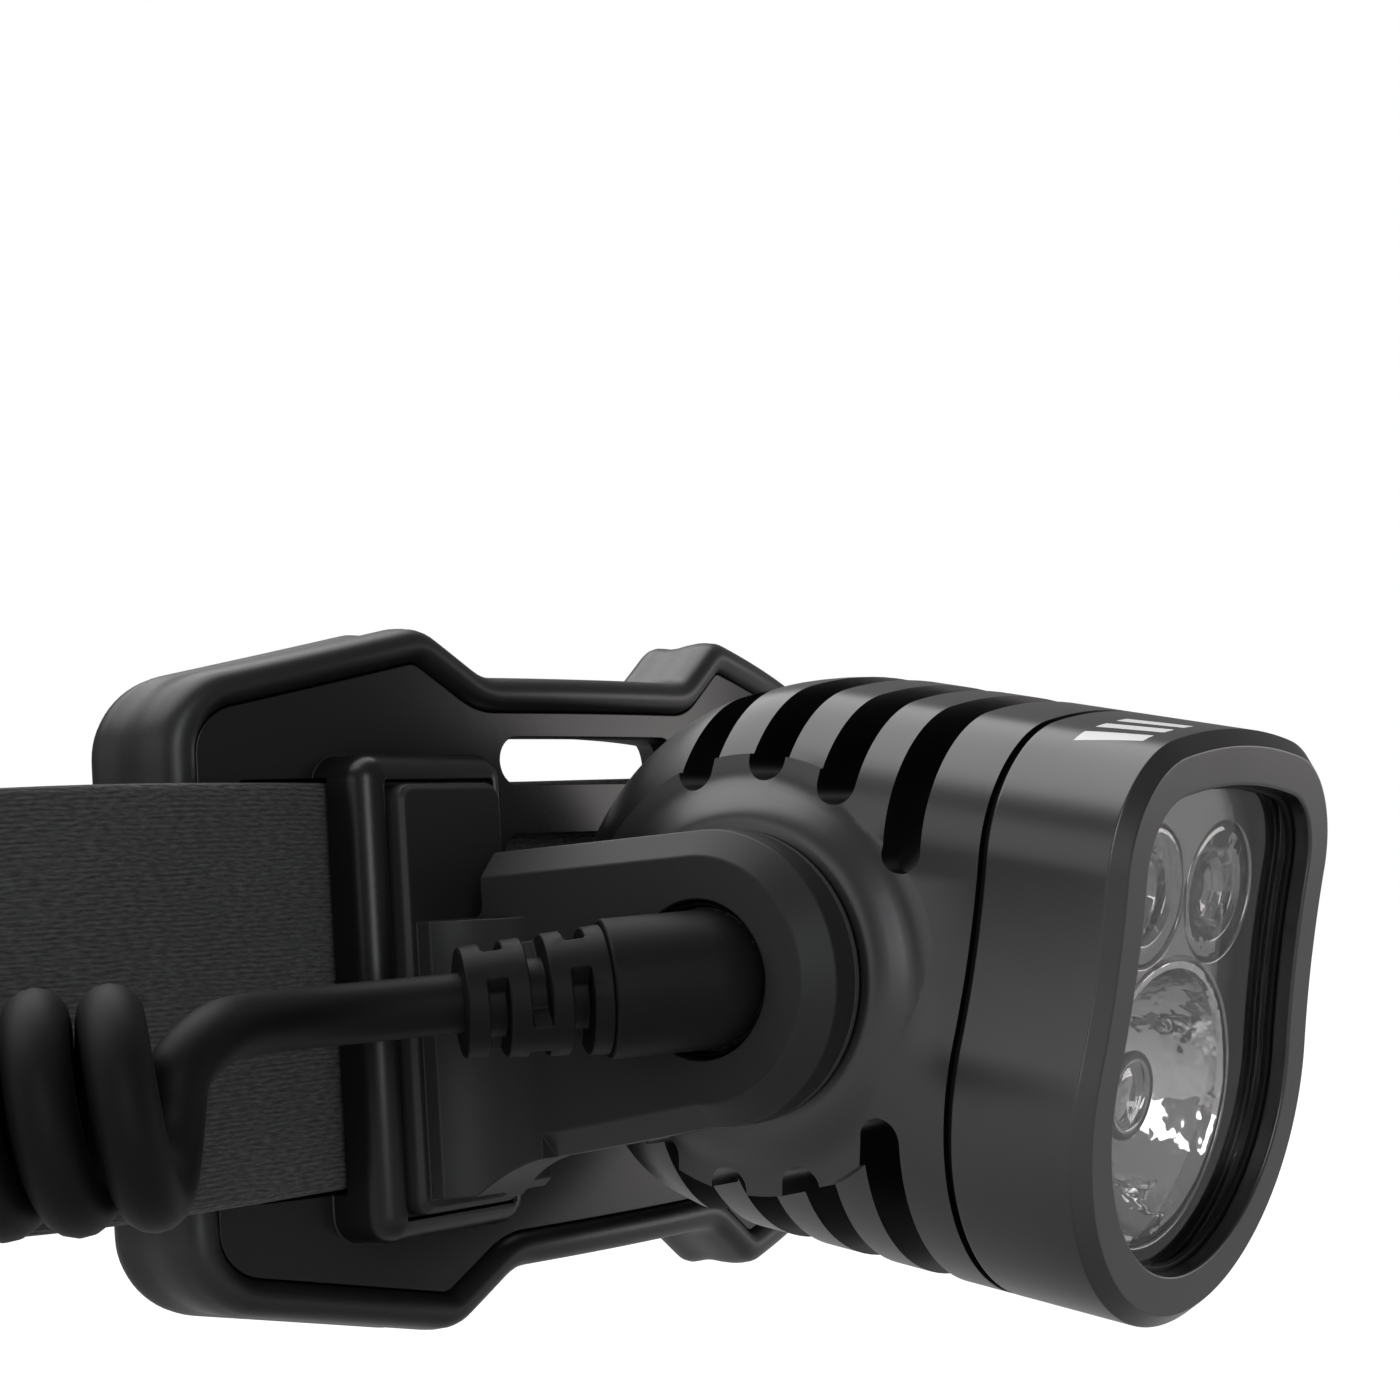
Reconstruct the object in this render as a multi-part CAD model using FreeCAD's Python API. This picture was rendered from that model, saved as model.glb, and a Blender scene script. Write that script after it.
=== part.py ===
import FreeCAD, Part
import math
import os

# Headlamp worn on the forehead. Millimetres. The row frame: origin at the middle of the forehead
# pad's back face, +X to the wearer's left, +Y towards the wearer, +Z up. The lamp shines along -Y.
V = FreeCAD.Vector
X_AXIS = V(1, 0, 0)
Y_AXIS = V(0, 1, 0)
Z_AXIS = V(0, 0, 1)

# ---- driving dimensions: tilt pivot of the lamp head ----
pivot_y = -38.0              # in front of the pad's back face
pivot_z = -1.2
rest_tilt = 12.2             # degrees that the head looks down at rest

# ---- lamp head outline, seen from the front ----
corner_x = 8.9               # centre of a top corner's arc
corner_z = 14.2
corner_r = 10.4
belly_z = -5.0               # centre of the round lower part
belly_r = 20.0
waist_r = 60.0               # hollow of the waist on each side
brow_r = 60.0                # shallow arc across the top
head_top = 25.4              # reach of the rounded back above the pivot

# ---- lamp head, depths ahead of the pivot ----
face_u = 33.5                # front face of the bezel
seam_u = 20.5                # where the housing ends
seam_gap = 0.6               # seal that shows between housing and bezel
face_chamfer = 1.25
rim_width = 3.35             # flat rim of the bezel's face
lip_depth = 1.6              # bezel lip that holds the window
bezel_wall = 2.2
window_inset = 3.0
window_t = 1.5
gasket_t = 0.6
gasket_show = 0.5            # gasket edge that shows inside the opening

# ---- lamp head, cooling slots ----
slot_w = 3.6
slot_pitch = 7.15
slot_count = 4
top_slot_u = 13.2            # front slot on top, ahead of the pivot
low_slot_u = 14.4            # front slot underneath
slot_ring_r = 18.2           # circle round the pivot that the slots' ends touch
top_core_r = 22.3            # solid core under the top slots
top_core_z = -3.0
low_core_r = 15.0
low_core_z = -4.5

# ---- lamp head, inside ----
board_inset = 2.8
board_t = 1.6
thermal_pad_t = 0.5
board_u = 17.0               # back face of the LED board
pocket_half = 9.9            # square pocket for the driver board
pocket_back_u = -6.0
driver_t = 1.4
driver_u = 4.0

# ---- optics ----
spot_z = -6.6
spot_r = 12.1
spot_wall = 0.8
spot_foot_r = 3.4
flood_x = 6.1
flood_r = 5.85
optic_gap = 0.7716           # between the reflector's rim and each lens
flood_z = spot_z + math.sqrt((spot_r + flood_r + optic_gap) ** 2 - flood_x ** 2)
flood_foot_r = 2.6
carrier_t = 1.8

# ---- tilt joint ----
boss_r = 12.9                # flat end of the boss on the lamp's side
boss_foot_r = 18.6           # where its flank has run out into the side
boss_drop = 2.4              # from its flat end to the foot of its flank
boss_x = 21.3
boss_in_x = 15.0             # where the boss starts, inside the head
bush_r = 8.0
bush_bore_r = 6.75
bush_play = 0.05
bush_seat = 3.3              # depth of the bush's seat in the boss
wire_bore_r = 4.0
washer_t = 0.55
arm_gap = 0.25               # between washer and boss
arm_t = 4.9
arm_in_x = boss_x + arm_gap + washer_t
arm_out_x = arm_in_x + arm_t
bush_in_x = boss_x - bush_seat
bush_out_x = arm_in_x + 2.5
arm_r = 12.3
arm_bevel = 2.1
arm_hole_r = 6.6

# ---- arm foot ----
foot_front_y = 26.2          # behind the pivot
foot_back_y = 28.5
foot_in_x = arm_in_x - 3.6
foot_out_x = arm_out_x + 5.3
foot_top_z = 18.0
foot_low_z = -18.9
root_out_x = foot_out_x - 1.1
root_top_z = 6.0
root_low_z = -17.6
root_fillet = 9.0
foot_round = 1.6
notch_y = 22.4               # front of the notch between an arm's top and its foot
notch_round = 1.2

# ---- power button ----
button_r = 6.2
button_out_x = arm_out_x - 0.6
button_len = 7.1
button_in_x = button_out_x - button_len
switch_r = 3.7
switch_out_x = button_in_x - 1.0

# ---- forehead plate and pad ----
plate_front_y = 29.5         # front face at the middle, behind the pivot
plate_bend_r = 140.0
plate_t = 2.4
pad_half_w = 49.0
pad_proud = 1.0              # rim of the pad in front of the plate
pad_rim = 3.3                # rim width round the plate
pad_back_y = 38.0
pedestal_in_x = foot_in_x - 2.9
pedestal_out_x = foot_out_x + 2.7
pedestal_top_z = 20.8
pedestal_low_z = -21.2
pedestal_front_y = 27.6
pedestal_round = 2.5
seat_play = 0.35
window_half_x = 13.5
slit_low_z = 18.0
slit_top_z = 22.3
pad_slit_extra = 6.5         # the pad's slit is longer at each end, so the plate's shows light from the side
port_low_z = -11.5
port_top_z = 13.4

# ---- headband ----
band_w = 35.0
band_t = 1.4
band_mid_z = 1.05
band_front_y = 33.0          # behind the pivot
band_straight_x = 58.0
band_corner_r = 32.7
band_side_len = 63.0
band_slot_x = 41.8           # outer end of the plate's strap slot
soft_gap = 0.35

# ---- band fittings ----
adjuster_len = 24.0
adjuster_wall = 1.5
adjuster_play = 0.6
clip_len = 7.0
clip_wall = 1.0
clip_side_y = (40.0, 82.0)   # in the row frame
rear_clip_angle = 25.5       # degrees round the back from the side

# ---- cable ----
cable_d = 4.9
clip_bore_r = cable_d / 2 + 0.4
clip_ring_r = clip_bore_r + 1.05
stub_r = 5.75
stub_len = 8.4
relief_end_r = 4.5
relief_len = 11.8
cable_turn = 48.0            # degrees that the stub points out from straight back
coil_mean_r = 6.45
coil_bend_r = 85.0
coil_bend_deg = 43.0
coil_end = (-101.8, 28.5, -6.9)      # in the row frame
lead_in_route = [
    (-42.0, -25.1, -1.8),
    (-46.9, -20.7, -2.0),
    (-54.0, -18.6, -2.1),
    (-62.0, -20.4, -2.1),
    (-69.4, -24.2, -2.2),
    (-75.6, -26.6, -2.4),
]
lead_route = [
    (-95.35, 28.5, -6.9),
    (-95.2, 41.0, -6.7),
    (-95.5, 56.0, -7.1),
    (-95.3, 71.0, -6.8),
    (-95.3, 85.0, -6.6),
    (-94.8, 99.0, -6.9),
    (-92.4, 113.0, -6.8),
    (-87.7, 128.3, -6.7),
    (-80.7, 141.6, -6.8),
    (-72.4, 152.9, -6.9),
    (-64.9, 161.6, -6.9),
]
plug_len = 17.0
plug_r = 5.0
plug_nose_r = 3.6
plug_nose_len = 9.0
collar_r = 6.1
collar_len = 8.0
collar_play = 0.08
plug_journal_r = 3.2
socket_r = 2.8
socket_depth = 6.0
contact_r = 0.5
contact_ring_r = 1.5
contact_count = 4

# ---- fasteners ----
screw_r = 1.25
screw_head_r = 2.3
screw_head_t = 1.2
arm_screw_x = (foot_in_x + foot_out_x) / 2
arm_screw_z = 9.6


def save(name, *shapes):
    shape = shapes[0] if len(shapes) == 1 else Part.makeCompound(list(shapes))
    shape.exportStep("parts/" + name + ".step")


def block(x0, x1, y0, y1, z0, z1):
    return Part.makeBox(x1 - x0, y1 - y0, z1 - z0, V(x0, y0, z0))


def rod(radius, start, end):
    along = V(*end).sub(V(*start))
    return Part.makeCylinder(radius, along.Length, V(*start), along)


def ring(outer, inner, start, end):
    return rod(outer, start, end).cut(rod(inner, start, end))


def arc_through(a, b, c):
    return Part.Arc(a, b, c).toShape()


def polar(centre, radius, angle):
    return (centre[0] + radius * math.cos(angle), centre[1] + radius * math.sin(angle))


def arc_points(centre, radius, start, end):
    return [polar(centre, radius, start + (end - start) * k / 2) for k in range(3)]


def rounded_polygon(points, radii):
    """Closed run of straight lines and tangent arcs, as a list of 2-D point lists."""
    pieces = []
    count = len(points)
    ends = []
    for i in range(count):
        p = FreeCAD.Vector(points[i][0], points[i][1], 0)
        before = FreeCAD.Vector(points[i - 1][0], points[i - 1][1], 0).sub(p).normalize()
        after_point = points[(i + 1) % count]
        after = FreeCAD.Vector(after_point[0], after_point[1], 0).sub(p).normalize()
        half = before.getAngle(after) / 2
        back = radii[i] / math.tan(half)
        middle = before.add(after).normalize()
        centre = p.add(middle.multiply(radii[i] / math.sin(half)))
        inner = centre.add(p.sub(centre).normalize().multiply(radii[i]))
        a = p.add(before.multiply(back))
        b = p.add(after.multiply(back))
        ends.append((a, inner, b))
    for i in range(count):
        a, inner, b = ends[i]
        pieces.append([(a.x, a.y), (inner.x, inner.y), (b.x, b.y)])
        following = ends[(i + 1) % count][0]
        pieces.append([(b.x, b.y), (following.x, following.y)])
    return pieces


def wire_of(pieces, place):
    edges = []
    for piece in pieces:
        points = [place(*p) for p in piece]
        if len(points) == 3:
            edges.append(arc_through(*points))
        else:
            edges.append(Part.makeLine(points[0], points[1]))
    return Part.Wire(edges)


# ------------------------------------------------------------------ lamp head
def head_outline(inset, y):
    """The head's outline at depth y, moved inwards by inset: brow, corners, waists and belly."""
    lift = math.sqrt((brow_r - corner_r) ** 2 - corner_x ** 2)
    brow = (0.0, corner_z - lift)
    brow_angle = math.atan2(lift, corner_x)
    span_corner = corner_r + waist_r
    span_belly = belly_r + waist_r
    across = math.hypot(corner_x, corner_z - belly_z)
    ux = corner_x / across
    uz = (corner_z - belly_z) / across
    s = (span_belly ** 2 - span_corner ** 2 + across ** 2) / (2 * across)
    h = math.sqrt(span_belly ** 2 - s ** 2)
    waist = (ux * s + uz * h, belly_z + uz * s - ux * h)
    corner_low = math.atan2(waist[1] - corner_z, waist[0] - corner_x)
    belly_angle = math.atan2(waist[1] - belly_z, waist[0])
    right = [
        arc_points((corner_x, corner_z), corner_r - inset, brow_angle, corner_low),
        arc_points(waist, waist_r + inset, corner_low + math.pi, belly_angle + math.pi),
    ]
    belly = arc_points((0.0, belly_z), belly_r - inset, belly_angle, -math.pi - belly_angle)
    left = [[(-p[0], p[1]) for p in reversed(piece)] for piece in reversed(right)]
    top = arc_points(brow, brow_r - inset, math.pi - brow_angle, brow_angle)
    return wire_of([top] + right + [belly] + left, lambda x, z: V(x, y, z))


def head_solid(inset, u0, u1):
    face = Part.Face(head_outline(inset, -u0))
    return face.extrude(V(0, u0 - u1, 0))


def place_on_head(shape):
    turned = shape.copy()
    turned.rotate(V(0, 0, 0), X_AXIS, rest_tilt)
    turned.translate(V(0, pivot_y, pivot_z))
    return turned


def slot_cutters(first_u, side, core):
    """Cuts across the head: round-ended towards the pivot and open outwards, over a solid core."""
    cutters = []
    for k in range(slot_count):
        u = first_u - k * slot_pitch
        reach = math.sqrt(max(slot_ring_r ** 2 - u ** 2, 1.0))
        end_z = side * reach
        outer_z = side * (head_top + 4)
        low = min(end_z, outer_z)
        high = max(end_z, outer_z)
        cut = block(-24, 24, -u - slot_w / 2, -u + slot_w / 2, low, high)
        cut = cut.fuse(rod(slot_w / 2, (-24, -u, end_z), (24, -u, end_z)))
        cutters.append(cut.cut(core))
    return cutters


def heat_sink_housing():
    front = head_solid(0, 0, seam_u)
    upper = Part.Face(head_outline(0, 0)).common(block(-30, 30, -1, 1, 0, 40))
    back = upper.Faces[0].revolve(V(0, 0, 0), X_AXIS, -180)
    back = back.common(head_solid(0, -head_top - 2, 0))
    body = front.fuse(back)
    for side in (-1, 1):
        body = body.fuse(side_boss(side))
    top_core = rod(top_core_r, (0, -40, top_core_z), (0, 40, top_core_z))
    low_core = rod(low_core_r, (0, -40, low_core_z), (0, 40, low_core_z))
    for cutter in slot_cutters(top_slot_u, 1, top_core):
        body = body.cut(cutter)
    for cutter in slot_cutters(low_slot_u, -1, low_core):
        body = body.cut(cutter)
    pad_floor = board_u - thermal_pad_t
    body = body.cut(head_solid(board_inset - 0.1, pad_floor, seam_u + 1))
    body = body.cut(block(-pocket_half, pocket_half, -pad_floor - 1, -pocket_back_u,
                          -pocket_half, pocket_half))
    for side in (-1, 1):
        body = body.cut(rod(bush_r + bush_play, (side * (bush_in_x - 0.4), 0, 0), (side * (boss_x + 2), 0, 0)))
        body = body.cut(rod(wire_bore_r, (side * (pocket_half - 1), 0, 0), (side * (boss_x + 2), 0, 0)))
    for x, z in board_screw_places():
        body = body.cut(rod(screw_r, (x, -pad_floor - 1, z), (x, -pad_floor + 4, z)))
    return body.removeSplitter()


def side_boss(side):
    """Smooth round boss on the head's side: a flat end, then an S-shaped flank that runs out into the side."""
    drops = [(0.0, 0.0), (0.25, 0.9), (0.8, 1.9), (1.4, 2.8), (1.9, 3.7), (2.2, 4.7)]
    points = [V(side * (boss_x - drop), 0, boss_r + out) for drop, out in drops]
    points.append(V(side * (boss_x - boss_drop), 0, boss_foot_r))
    flank = Part.BSplineCurve()
    flank.interpolate(points)
    start = V(side * boss_in_x, 0, 0)
    foot = V(side * boss_in_x, 0, boss_foot_r)
    end = V(side * boss_x, 0, 0)
    profile = [Part.makeLine(start, foot), Part.makeLine(foot, points[-1]), flank.toShape(),
               Part.makeLine(points[0], end), Part.makeLine(end, start)]
    return Part.Face(Part.Wire(Part.__sortEdges__(profile))).revolve(V(0, 0, 0), X_AXIS, 360)


def front_bezel():
    back_u = seam_u + seam_gap
    barrel = head_solid(0, back_u, face_u - face_chamfer)
    edge = Part.makeLoft([head_outline(0, -(face_u - face_chamfer)), head_outline(face_chamfer, -face_u)],
                         True, True)
    body = barrel.fuse(edge)
    lip_u = face_u - lip_depth
    seat_u = lip_u - gasket_t - window_t
    body = body.cut(head_solid(face_chamfer + rim_width, lip_u - 1, face_u + 1))
    body = body.cut(head_solid(window_inset, seat_u, lip_u))
    body = body.cut(head_solid(bezel_wall + 1.6, back_u - 1, seat_u + 1))
    return body.removeSplitter()


def frame_ring(outer_inset, inner_inset, u0, u1):
    return head_solid(outer_inset, u0, u1).cut(head_solid(inner_inset, u0 - 1, u1 + 1))


def board_screw_places():
    return [(-13.4, 1.4), (13.4, 1.4), (0.0, 17.6)]


def led_board():
    board = head_solid(board_inset, board_u, board_u + board_t)
    for x, z in board_screw_places():
        board = board.cut(rod(screw_r, (x, -board_u - 5, z), (x, -board_u + 5, z)))
    return board


def board_screws():
    top = board_u + board_t
    screws = []
    for x, z in board_screw_places():
        shank = rod(screw_r, (x, -top, z), (x, -board_u + thermal_pad_t + 3, z))
        screws.append(shank.fuse(rod(screw_head_r - 0.4, (x, -top - 1.0, z), (x, -top, z))))
    return screws


def thermal_pad():
    pad = head_solid(board_inset + 0.6, board_u - thermal_pad_t, board_u)
    pad = pad.cut(block(-pocket_half, pocket_half, -board_u - 1, -board_u + 2, -pocket_half, pocket_half))
    for x, z in board_screw_places():
        pad = pad.cut(rod(screw_r + 0.3, (x, -board_u - 5, z), (x, -board_u + 5, z)))
    return pad


def led(x, z, width, dome_r):
    top = board_u + board_t
    base = block(x - width / 2, x + width / 2, -top - 0.9, -top, z - width / 2, z + width / 2)
    dome = Part.makeSphere(dome_r, V(x, -top - 0.9, z))
    return base.fuse(dome.common(block(x - 5, x + 5, -top - 5, -top - 0.5, z - 5, z + 5)))


def optics_front_u():
    return face_u - lip_depth - gasket_t - window_t - 0.3


def spot_reflector():
    """Deep bowl: the radius grows with the square root of the distance from its foot."""
    front = optics_front_u()
    foot = board_u + board_t + 1.2
    depth = front - foot
    steps = 8
    outer = []
    for k in range(steps + 1):
        share = k / steps
        radius = spot_foot_r + (spot_r - spot_foot_r) * math.sqrt(share)
        outer.append(V(radius, -(foot + depth * share), 0))
    inner = [V(p.x - spot_wall, p.y, 0) for p in outer]
    outer_curve = Part.BSplineCurve()
    outer_curve.interpolate(outer)
    inner_curve = Part.BSplineCurve()
    inner_curve.interpolate(inner)
    wire = Part.Wire([
        outer_curve.toShape(),
        Part.makeLine(outer[-1], inner[-1]),
        inner_curve.toShape(),
        Part.makeLine(inner[0], outer[0]),
    ])
    bowl = Part.Face(wire).revolve(V(0, 0, 0), Y_AXIS, 360)
    bowl.translate(V(0, 0, spot_z))
    return bowl


def flood_lens(x):
    front = optics_front_u()
    foot = board_u + board_t + 2.6
    cone = Part.makeCone(flood_foot_r, flood_r, front - foot - 0.8, V(x, -foot, flood_z), V(0, -1, 0))
    return cone.fuse(rod(flood_r, (x, -(front - 0.8), flood_z), (x, -front, flood_z)))


def optic_carrier():
    """Plate that holds the reflector and both lenses, on a short skirt that stands on the board."""
    front = optics_front_u()
    outer = bezel_wall + 1.8
    plate = head_solid(outer, front - carrier_t, front)
    skirt = frame_ring(outer, outer + 1.0, board_u + board_t + 2.3, front - carrier_t)
    body = plate.fuse(skirt)
    body = body.cut(rod(spot_r + 0.15, (0, -front - 1, spot_z), (0, 0, spot_z)))
    for side in (-1, 1):
        body = body.cut(rod(flood_r + 0.1, (side * flood_x, -front - 1, flood_z), (side * flood_x, 0, flood_z)))
    return body


def driver_board():
    half = pocket_half - 0.3
    board = block(-half, half, -driver_u - driver_t, -driver_u, -half, half)
    coil = rod(3.4, (-4, -driver_u - driver_t - 3.2, 3), (-4, -driver_u - driver_t, 3))
    chip = block(1.5, 6.5, -driver_u - driver_t - 1.2, -driver_u - driver_t, -6.5, -0.5)
    capacitor = block(2, 6, -driver_u, -driver_u + 1.8, 1.5, 6)
    return board.fuse(coil).fuse(chip).fuse(capacitor)


# ------------------------------------------------------------------ tilt joint and arms
def at_pivot(shape):
    moved = shape.copy()
    moved.translate(V(0, pivot_y, pivot_z))
    return moved


def arm_profile(inset, x):
    """Side view of an arm: round end at the pivot, straight top, lower edge that drops to the foot."""
    r = arm_r - inset
    end_y = foot_back_y - 1.0
    top = arm_r - 0.8 - inset
    low = -arm_r - 2.2 + inset
    edges = [
        arc_through(V(x, 0.9, r), V(x, -r, 0), V(x, 0.9, -r)),
        Part.makeLine(V(x, 0.9, -r), V(x, 16.0, low)),
        arc_through(V(x, 16.0, low), V(x, 20.6, low - 1.3), V(x, 23.4, low - 3.6)),
        Part.makeLine(V(x, 23.4, low - 3.6), V(x, end_y, low - 3.6)),
        Part.makeLine(V(x, end_y, low - 3.6), V(x, end_y, top)),
        Part.makeLine(V(x, end_y, top), V(x, 0.9, r)),
    ]
    return Part.Wire(edges)


def cable_axis():
    turn = math.radians(cable_turn)
    return V(-math.sin(turn), math.cos(turn), -0.03).normalize()


def stub_start():
    return V(-arm_out_x, -0.6, 0)


def arm(side):
    """One arm of the bracket with its foot, in pivot coordinates."""
    inner = arm_in_x
    mid = arm_out_x - arm_bevel
    body = Part.Face(arm_profile(0, -inner)).extrude(V(-(mid - inner), 0, 0))
    bevel = Part.makeLoft([arm_profile(0, -mid), arm_profile(arm_bevel, -arm_out_x)], True, True)
    body = body.fuse(bevel)
    foot = block(-foot_out_x, -foot_in_x, foot_front_y, foot_back_y, foot_low_z, foot_top_z)
    upright = [e for e in foot.Edges if abs(e.Vertexes[0].Y - e.Vertexes[1].Y) > 1]
    foot = foot.makeFillet(foot_round, upright)
    face_edges = [e for e in foot.Edges if all(abs(v.Y - foot_front_y) < 0.01 for v in e.Vertexes)]
    foot = foot.makeChamfer(0.5, face_edges)
    root = block(-root_out_x, -foot_in_x - 1, foot_front_y - root_fillet, foot_front_y + 0.5,
                 root_low_z, root_top_z)
    root = root.cut(rod(root_fillet, (-arm_out_x - root_fillet, foot_front_y - root_fillet, -30),
                        (-arm_out_x - root_fillet, foot_front_y - root_fillet, 30)))
    root = root.cut(block(-foot_out_x - 8, -arm_out_x, 0, foot_front_y - root_fillet, -30, 30))
    root = root.cut(block(-arm_in_x, 0, 0, foot_front_y - 4.0, -30, 30))
    side_view = Part.Face(arm_profile(0, 0)).extrude(V(-foot_out_x - 2, 0, 0))
    notch = block(-foot_out_x - 1, -foot_in_x + 1, notch_y, foot_front_y, root_top_z, arm_r + 2)
    corner = [e for e in notch.Edges if all(abs(v.Z - root_top_z) < 0.01 and abs(v.Y - notch_y) < 0.01 for v in e.Vertexes)]
    notch = notch.makeFillet(notch_round, corner)
    body = body.fuse(root.common(side_view)).cut(notch).fuse(foot)
    body = body.cut(rod(arm_hole_r, (-arm_out_x - 2, 0, 0), (-arm_in_x + 2, 0, 0)))
    body = body.cut(rod(bush_r, (-bush_out_x, 0, 0), (-arm_in_x + 2, 0, 0)))
    if side < 0:
        start = stub_start()
        far = start.add(cable_axis().multiply(stub_len + 6))
        body = body.cut(rod(stub_r + 0.3, tuple(start), tuple(far)))
        body = body.cut(Part.makeSphere(stub_r + 0.3, start))
    for z in screw_heights():
        body = body.cut(rod(screw_r, (-arm_screw_x, foot_back_y - 2.0, z), (-arm_screw_x, 60, z)))
    body = body.removeSplitter()
    return body if side < 0 else body.mirror(V(0, 0, 0), X_AXIS)


def screw_heights():
    middle = (foot_top_z + foot_low_z) / 2
    return (middle - arm_screw_z, middle + arm_screw_z)


def arm_screws():
    head_y = band_front_y - 0.6 - screw_head_t
    screws = []
    for side in (-1, 1):
        for z in screw_heights():
            x = side * arm_screw_x
            head = rod(screw_head_r, (x, head_y, z), (x, head_y + screw_head_t, z))
            screws.append(at_pivot(head.fuse(rod(screw_r, (x, foot_back_y - 1.7, z), (x, head_y, z)))))
    return screws


def pivot_bush(side):
    return at_pivot(ring(bush_r, bush_bore_r, (side * bush_in_x, 0, 0), (side * bush_out_x, 0, 0)))


def friction_washer(side):
    return at_pivot(ring(arm_r, bush_r + 0.2, (side * (arm_in_x - washer_t), 0, 0), (side * arm_in_x, 0, 0)))


def power_button():
    cap = rod(button_r, (button_in_x, 0, 0), (button_out_x, 0, 0))
    rim = [e for e in cap.Edges if all(abs(v.X - button_out_x) < 0.01 for v in e.Vertexes) and e.Closed]
    return cap.makeFillet(1.2, rim)


def button_switch():
    return rod(switch_r, (pocket_half + 0.6, 0, 0), (switch_out_x, 0, 0))


# ------------------------------------------------------------------ forehead plate and pad
def pad_outline():
    half = [
        ((15.3, 27.9), 5.0),
        ((22.8, 32.5), 5.0),
        ((pad_half_w, 27.4), 7.5),
        ((pad_half_w, -25.2), 7.5),
        ((22.8, -30.1), 5.0),
        ((15.3, -25.5), 5.0),
    ]
    points = [p for p, r in half] + [(-p[0], p[1]) for p, r in reversed(half)]
    radii = [r for p, r in half] + [r for p, r in reversed(half)]
    return wire_of(rounded_polygon(points, radii), lambda x, z: V(x, 0, z))


def curved_slab(front_y, back_y):
    """Slab bent round the forehead: both faces share the upright axis of the bend."""
    axis_y = plate_front_y + plate_bend_r
    outer = Part.makeCylinder(axis_y - front_y, 120, V(0, axis_y, -60), Z_AXIS)
    inner = Part.makeCylinder(axis_y - back_y, 120, V(0, axis_y, -60), Z_AXIS)
    return outer.cut(inner).common(block(-80, 80, front_y - 5, front_y + 40, -60, 60))


def plate_back_cylinder():
    """Everything behind the plate's back face."""
    return Part.makeCylinder(plate_bend_r - plate_t, 120, V(0, plate_front_y + plate_bend_r, -60), Z_AXIS)


def plate_blank():
    wire = pad_outline().makeOffset2D(-pad_rim)
    return Part.Face(wire).extrude(V(0, 80, 0))


def band_channel(gap, half_x, front_y):
    z0 = band_mid_z - band_w / 2 - gap
    z1 = band_mid_z + band_w / 2 + gap
    return block(-half_x, half_x, front_y, 80, z0, z1)


def slit(margin, extra=0.0):
    radius = (slit_top_z - slit_low_z) / 2 + margin
    mid = (slit_top_z + slit_low_z) / 2
    half = window_half_x - radius + 2 * margin + extra
    cut = block(-half, half, 20, 60, mid - radius, mid + radius)
    for side in (-1, 1):
        cut = cut.fuse(rod(radius, (side * half, 20, mid), (side * half, 60, mid)))
    return cut


def forehead_plate():
    body = plate_blank().common(curved_slab(plate_front_y, plate_front_y + plate_t))
    behind = plate_back_cylinder()
    for side in (-1, 1):
        x0 = min(side * pedestal_in_x, side * pedestal_out_x)
        x1 = max(side * pedestal_in_x, side * pedestal_out_x)
        base = block(x0, x1, pedestal_front_y, 34.2, pedestal_low_z, pedestal_top_z)
        rounded = [e for e in base.Edges if any(v.Y < pedestal_front_y + 0.01 for v in e.Vertexes)]
        body = body.fuse(base.makeFillet(pedestal_round, rounded).cut(behind))
        f0 = min(side * (foot_in_x - seat_play), side * (foot_out_x + seat_play))
        f1 = max(side * (foot_in_x - seat_play), side * (foot_out_x + seat_play))
        f0 = max(f0, -pedestal_out_x - 1)
        body = body.cut(block(f0, f1, 10, foot_back_y, foot_low_z - seat_play, foot_top_z + seat_play))
    body = body.cut(band_channel(soft_gap, band_slot_x, band_front_y - 0.6))
    body = body.cut(slit(0))
    port = block(-window_half_x, window_half_x, 20, 60, port_low_z, port_top_z)
    port = port.makeFillet(2.0, [e for e in port.Edges if abs(e.Vertexes[0].Y - e.Vertexes[1].Y) > 1])
    body = body.cut(port)
    for side in (-1, 1):
        for z in screw_heights():
            body = body.cut(rod(screw_r, (side * arm_screw_x, 10, z), (side * arm_screw_x, 60, z)))
            body = body.cut(rod(screw_head_r, (side * arm_screw_x, band_front_y - 0.6 - screw_head_t, z),
                                (side * arm_screw_x, 60, z)))
    return body.removeSplitter()


def forehead_pad():
    blank = Part.Face(pad_outline()).extrude(V(0, 80, 0))
    body = blank.common(curved_slab(plate_front_y - pad_proud, pad_back_y))
    pocket = plate_blank().cut(plate_back_cylinder())
    body = body.cut(pocket)
    body = body.cut(band_channel(soft_gap + 0.3, band_slot_x + 0.4, 0).cut(
        block(-80, 80, band_front_y + band_t + 0.5, 90, -60, 60)))
    body = body.cut(slit(0.6, pad_slit_extra))
    return body.removeSplitter()


# ------------------------------------------------------------------ headband and its fittings
def band_wire(offset):
    """Plan view of the loop, offset outwards: straight front, round corners, straight sides, round back."""
    y0 = band_front_y - offset
    r = band_corner_r + offset
    cy = band_front_y + band_corner_r
    cx = band_straight_x
    half = cx + r
    back_y = cy + band_side_len
    d = r * math.sqrt(0.5)
    pieces = [
        [(-cx, y0), (cx, y0)],
        [(cx, y0), (cx + d, cy - d), (half, cy)],
        [(half, cy), (half, back_y)],
        [(half, back_y), (0, back_y + half), (-half, back_y)],
        [(-half, back_y), (-half, cy)],
        [(-half, cy), (-cx - d, cy - d), (-cx, y0)],
    ]
    return wire_of(pieces, lambda x, y: V(x, y, band_mid_z - band_w / 2))


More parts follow.
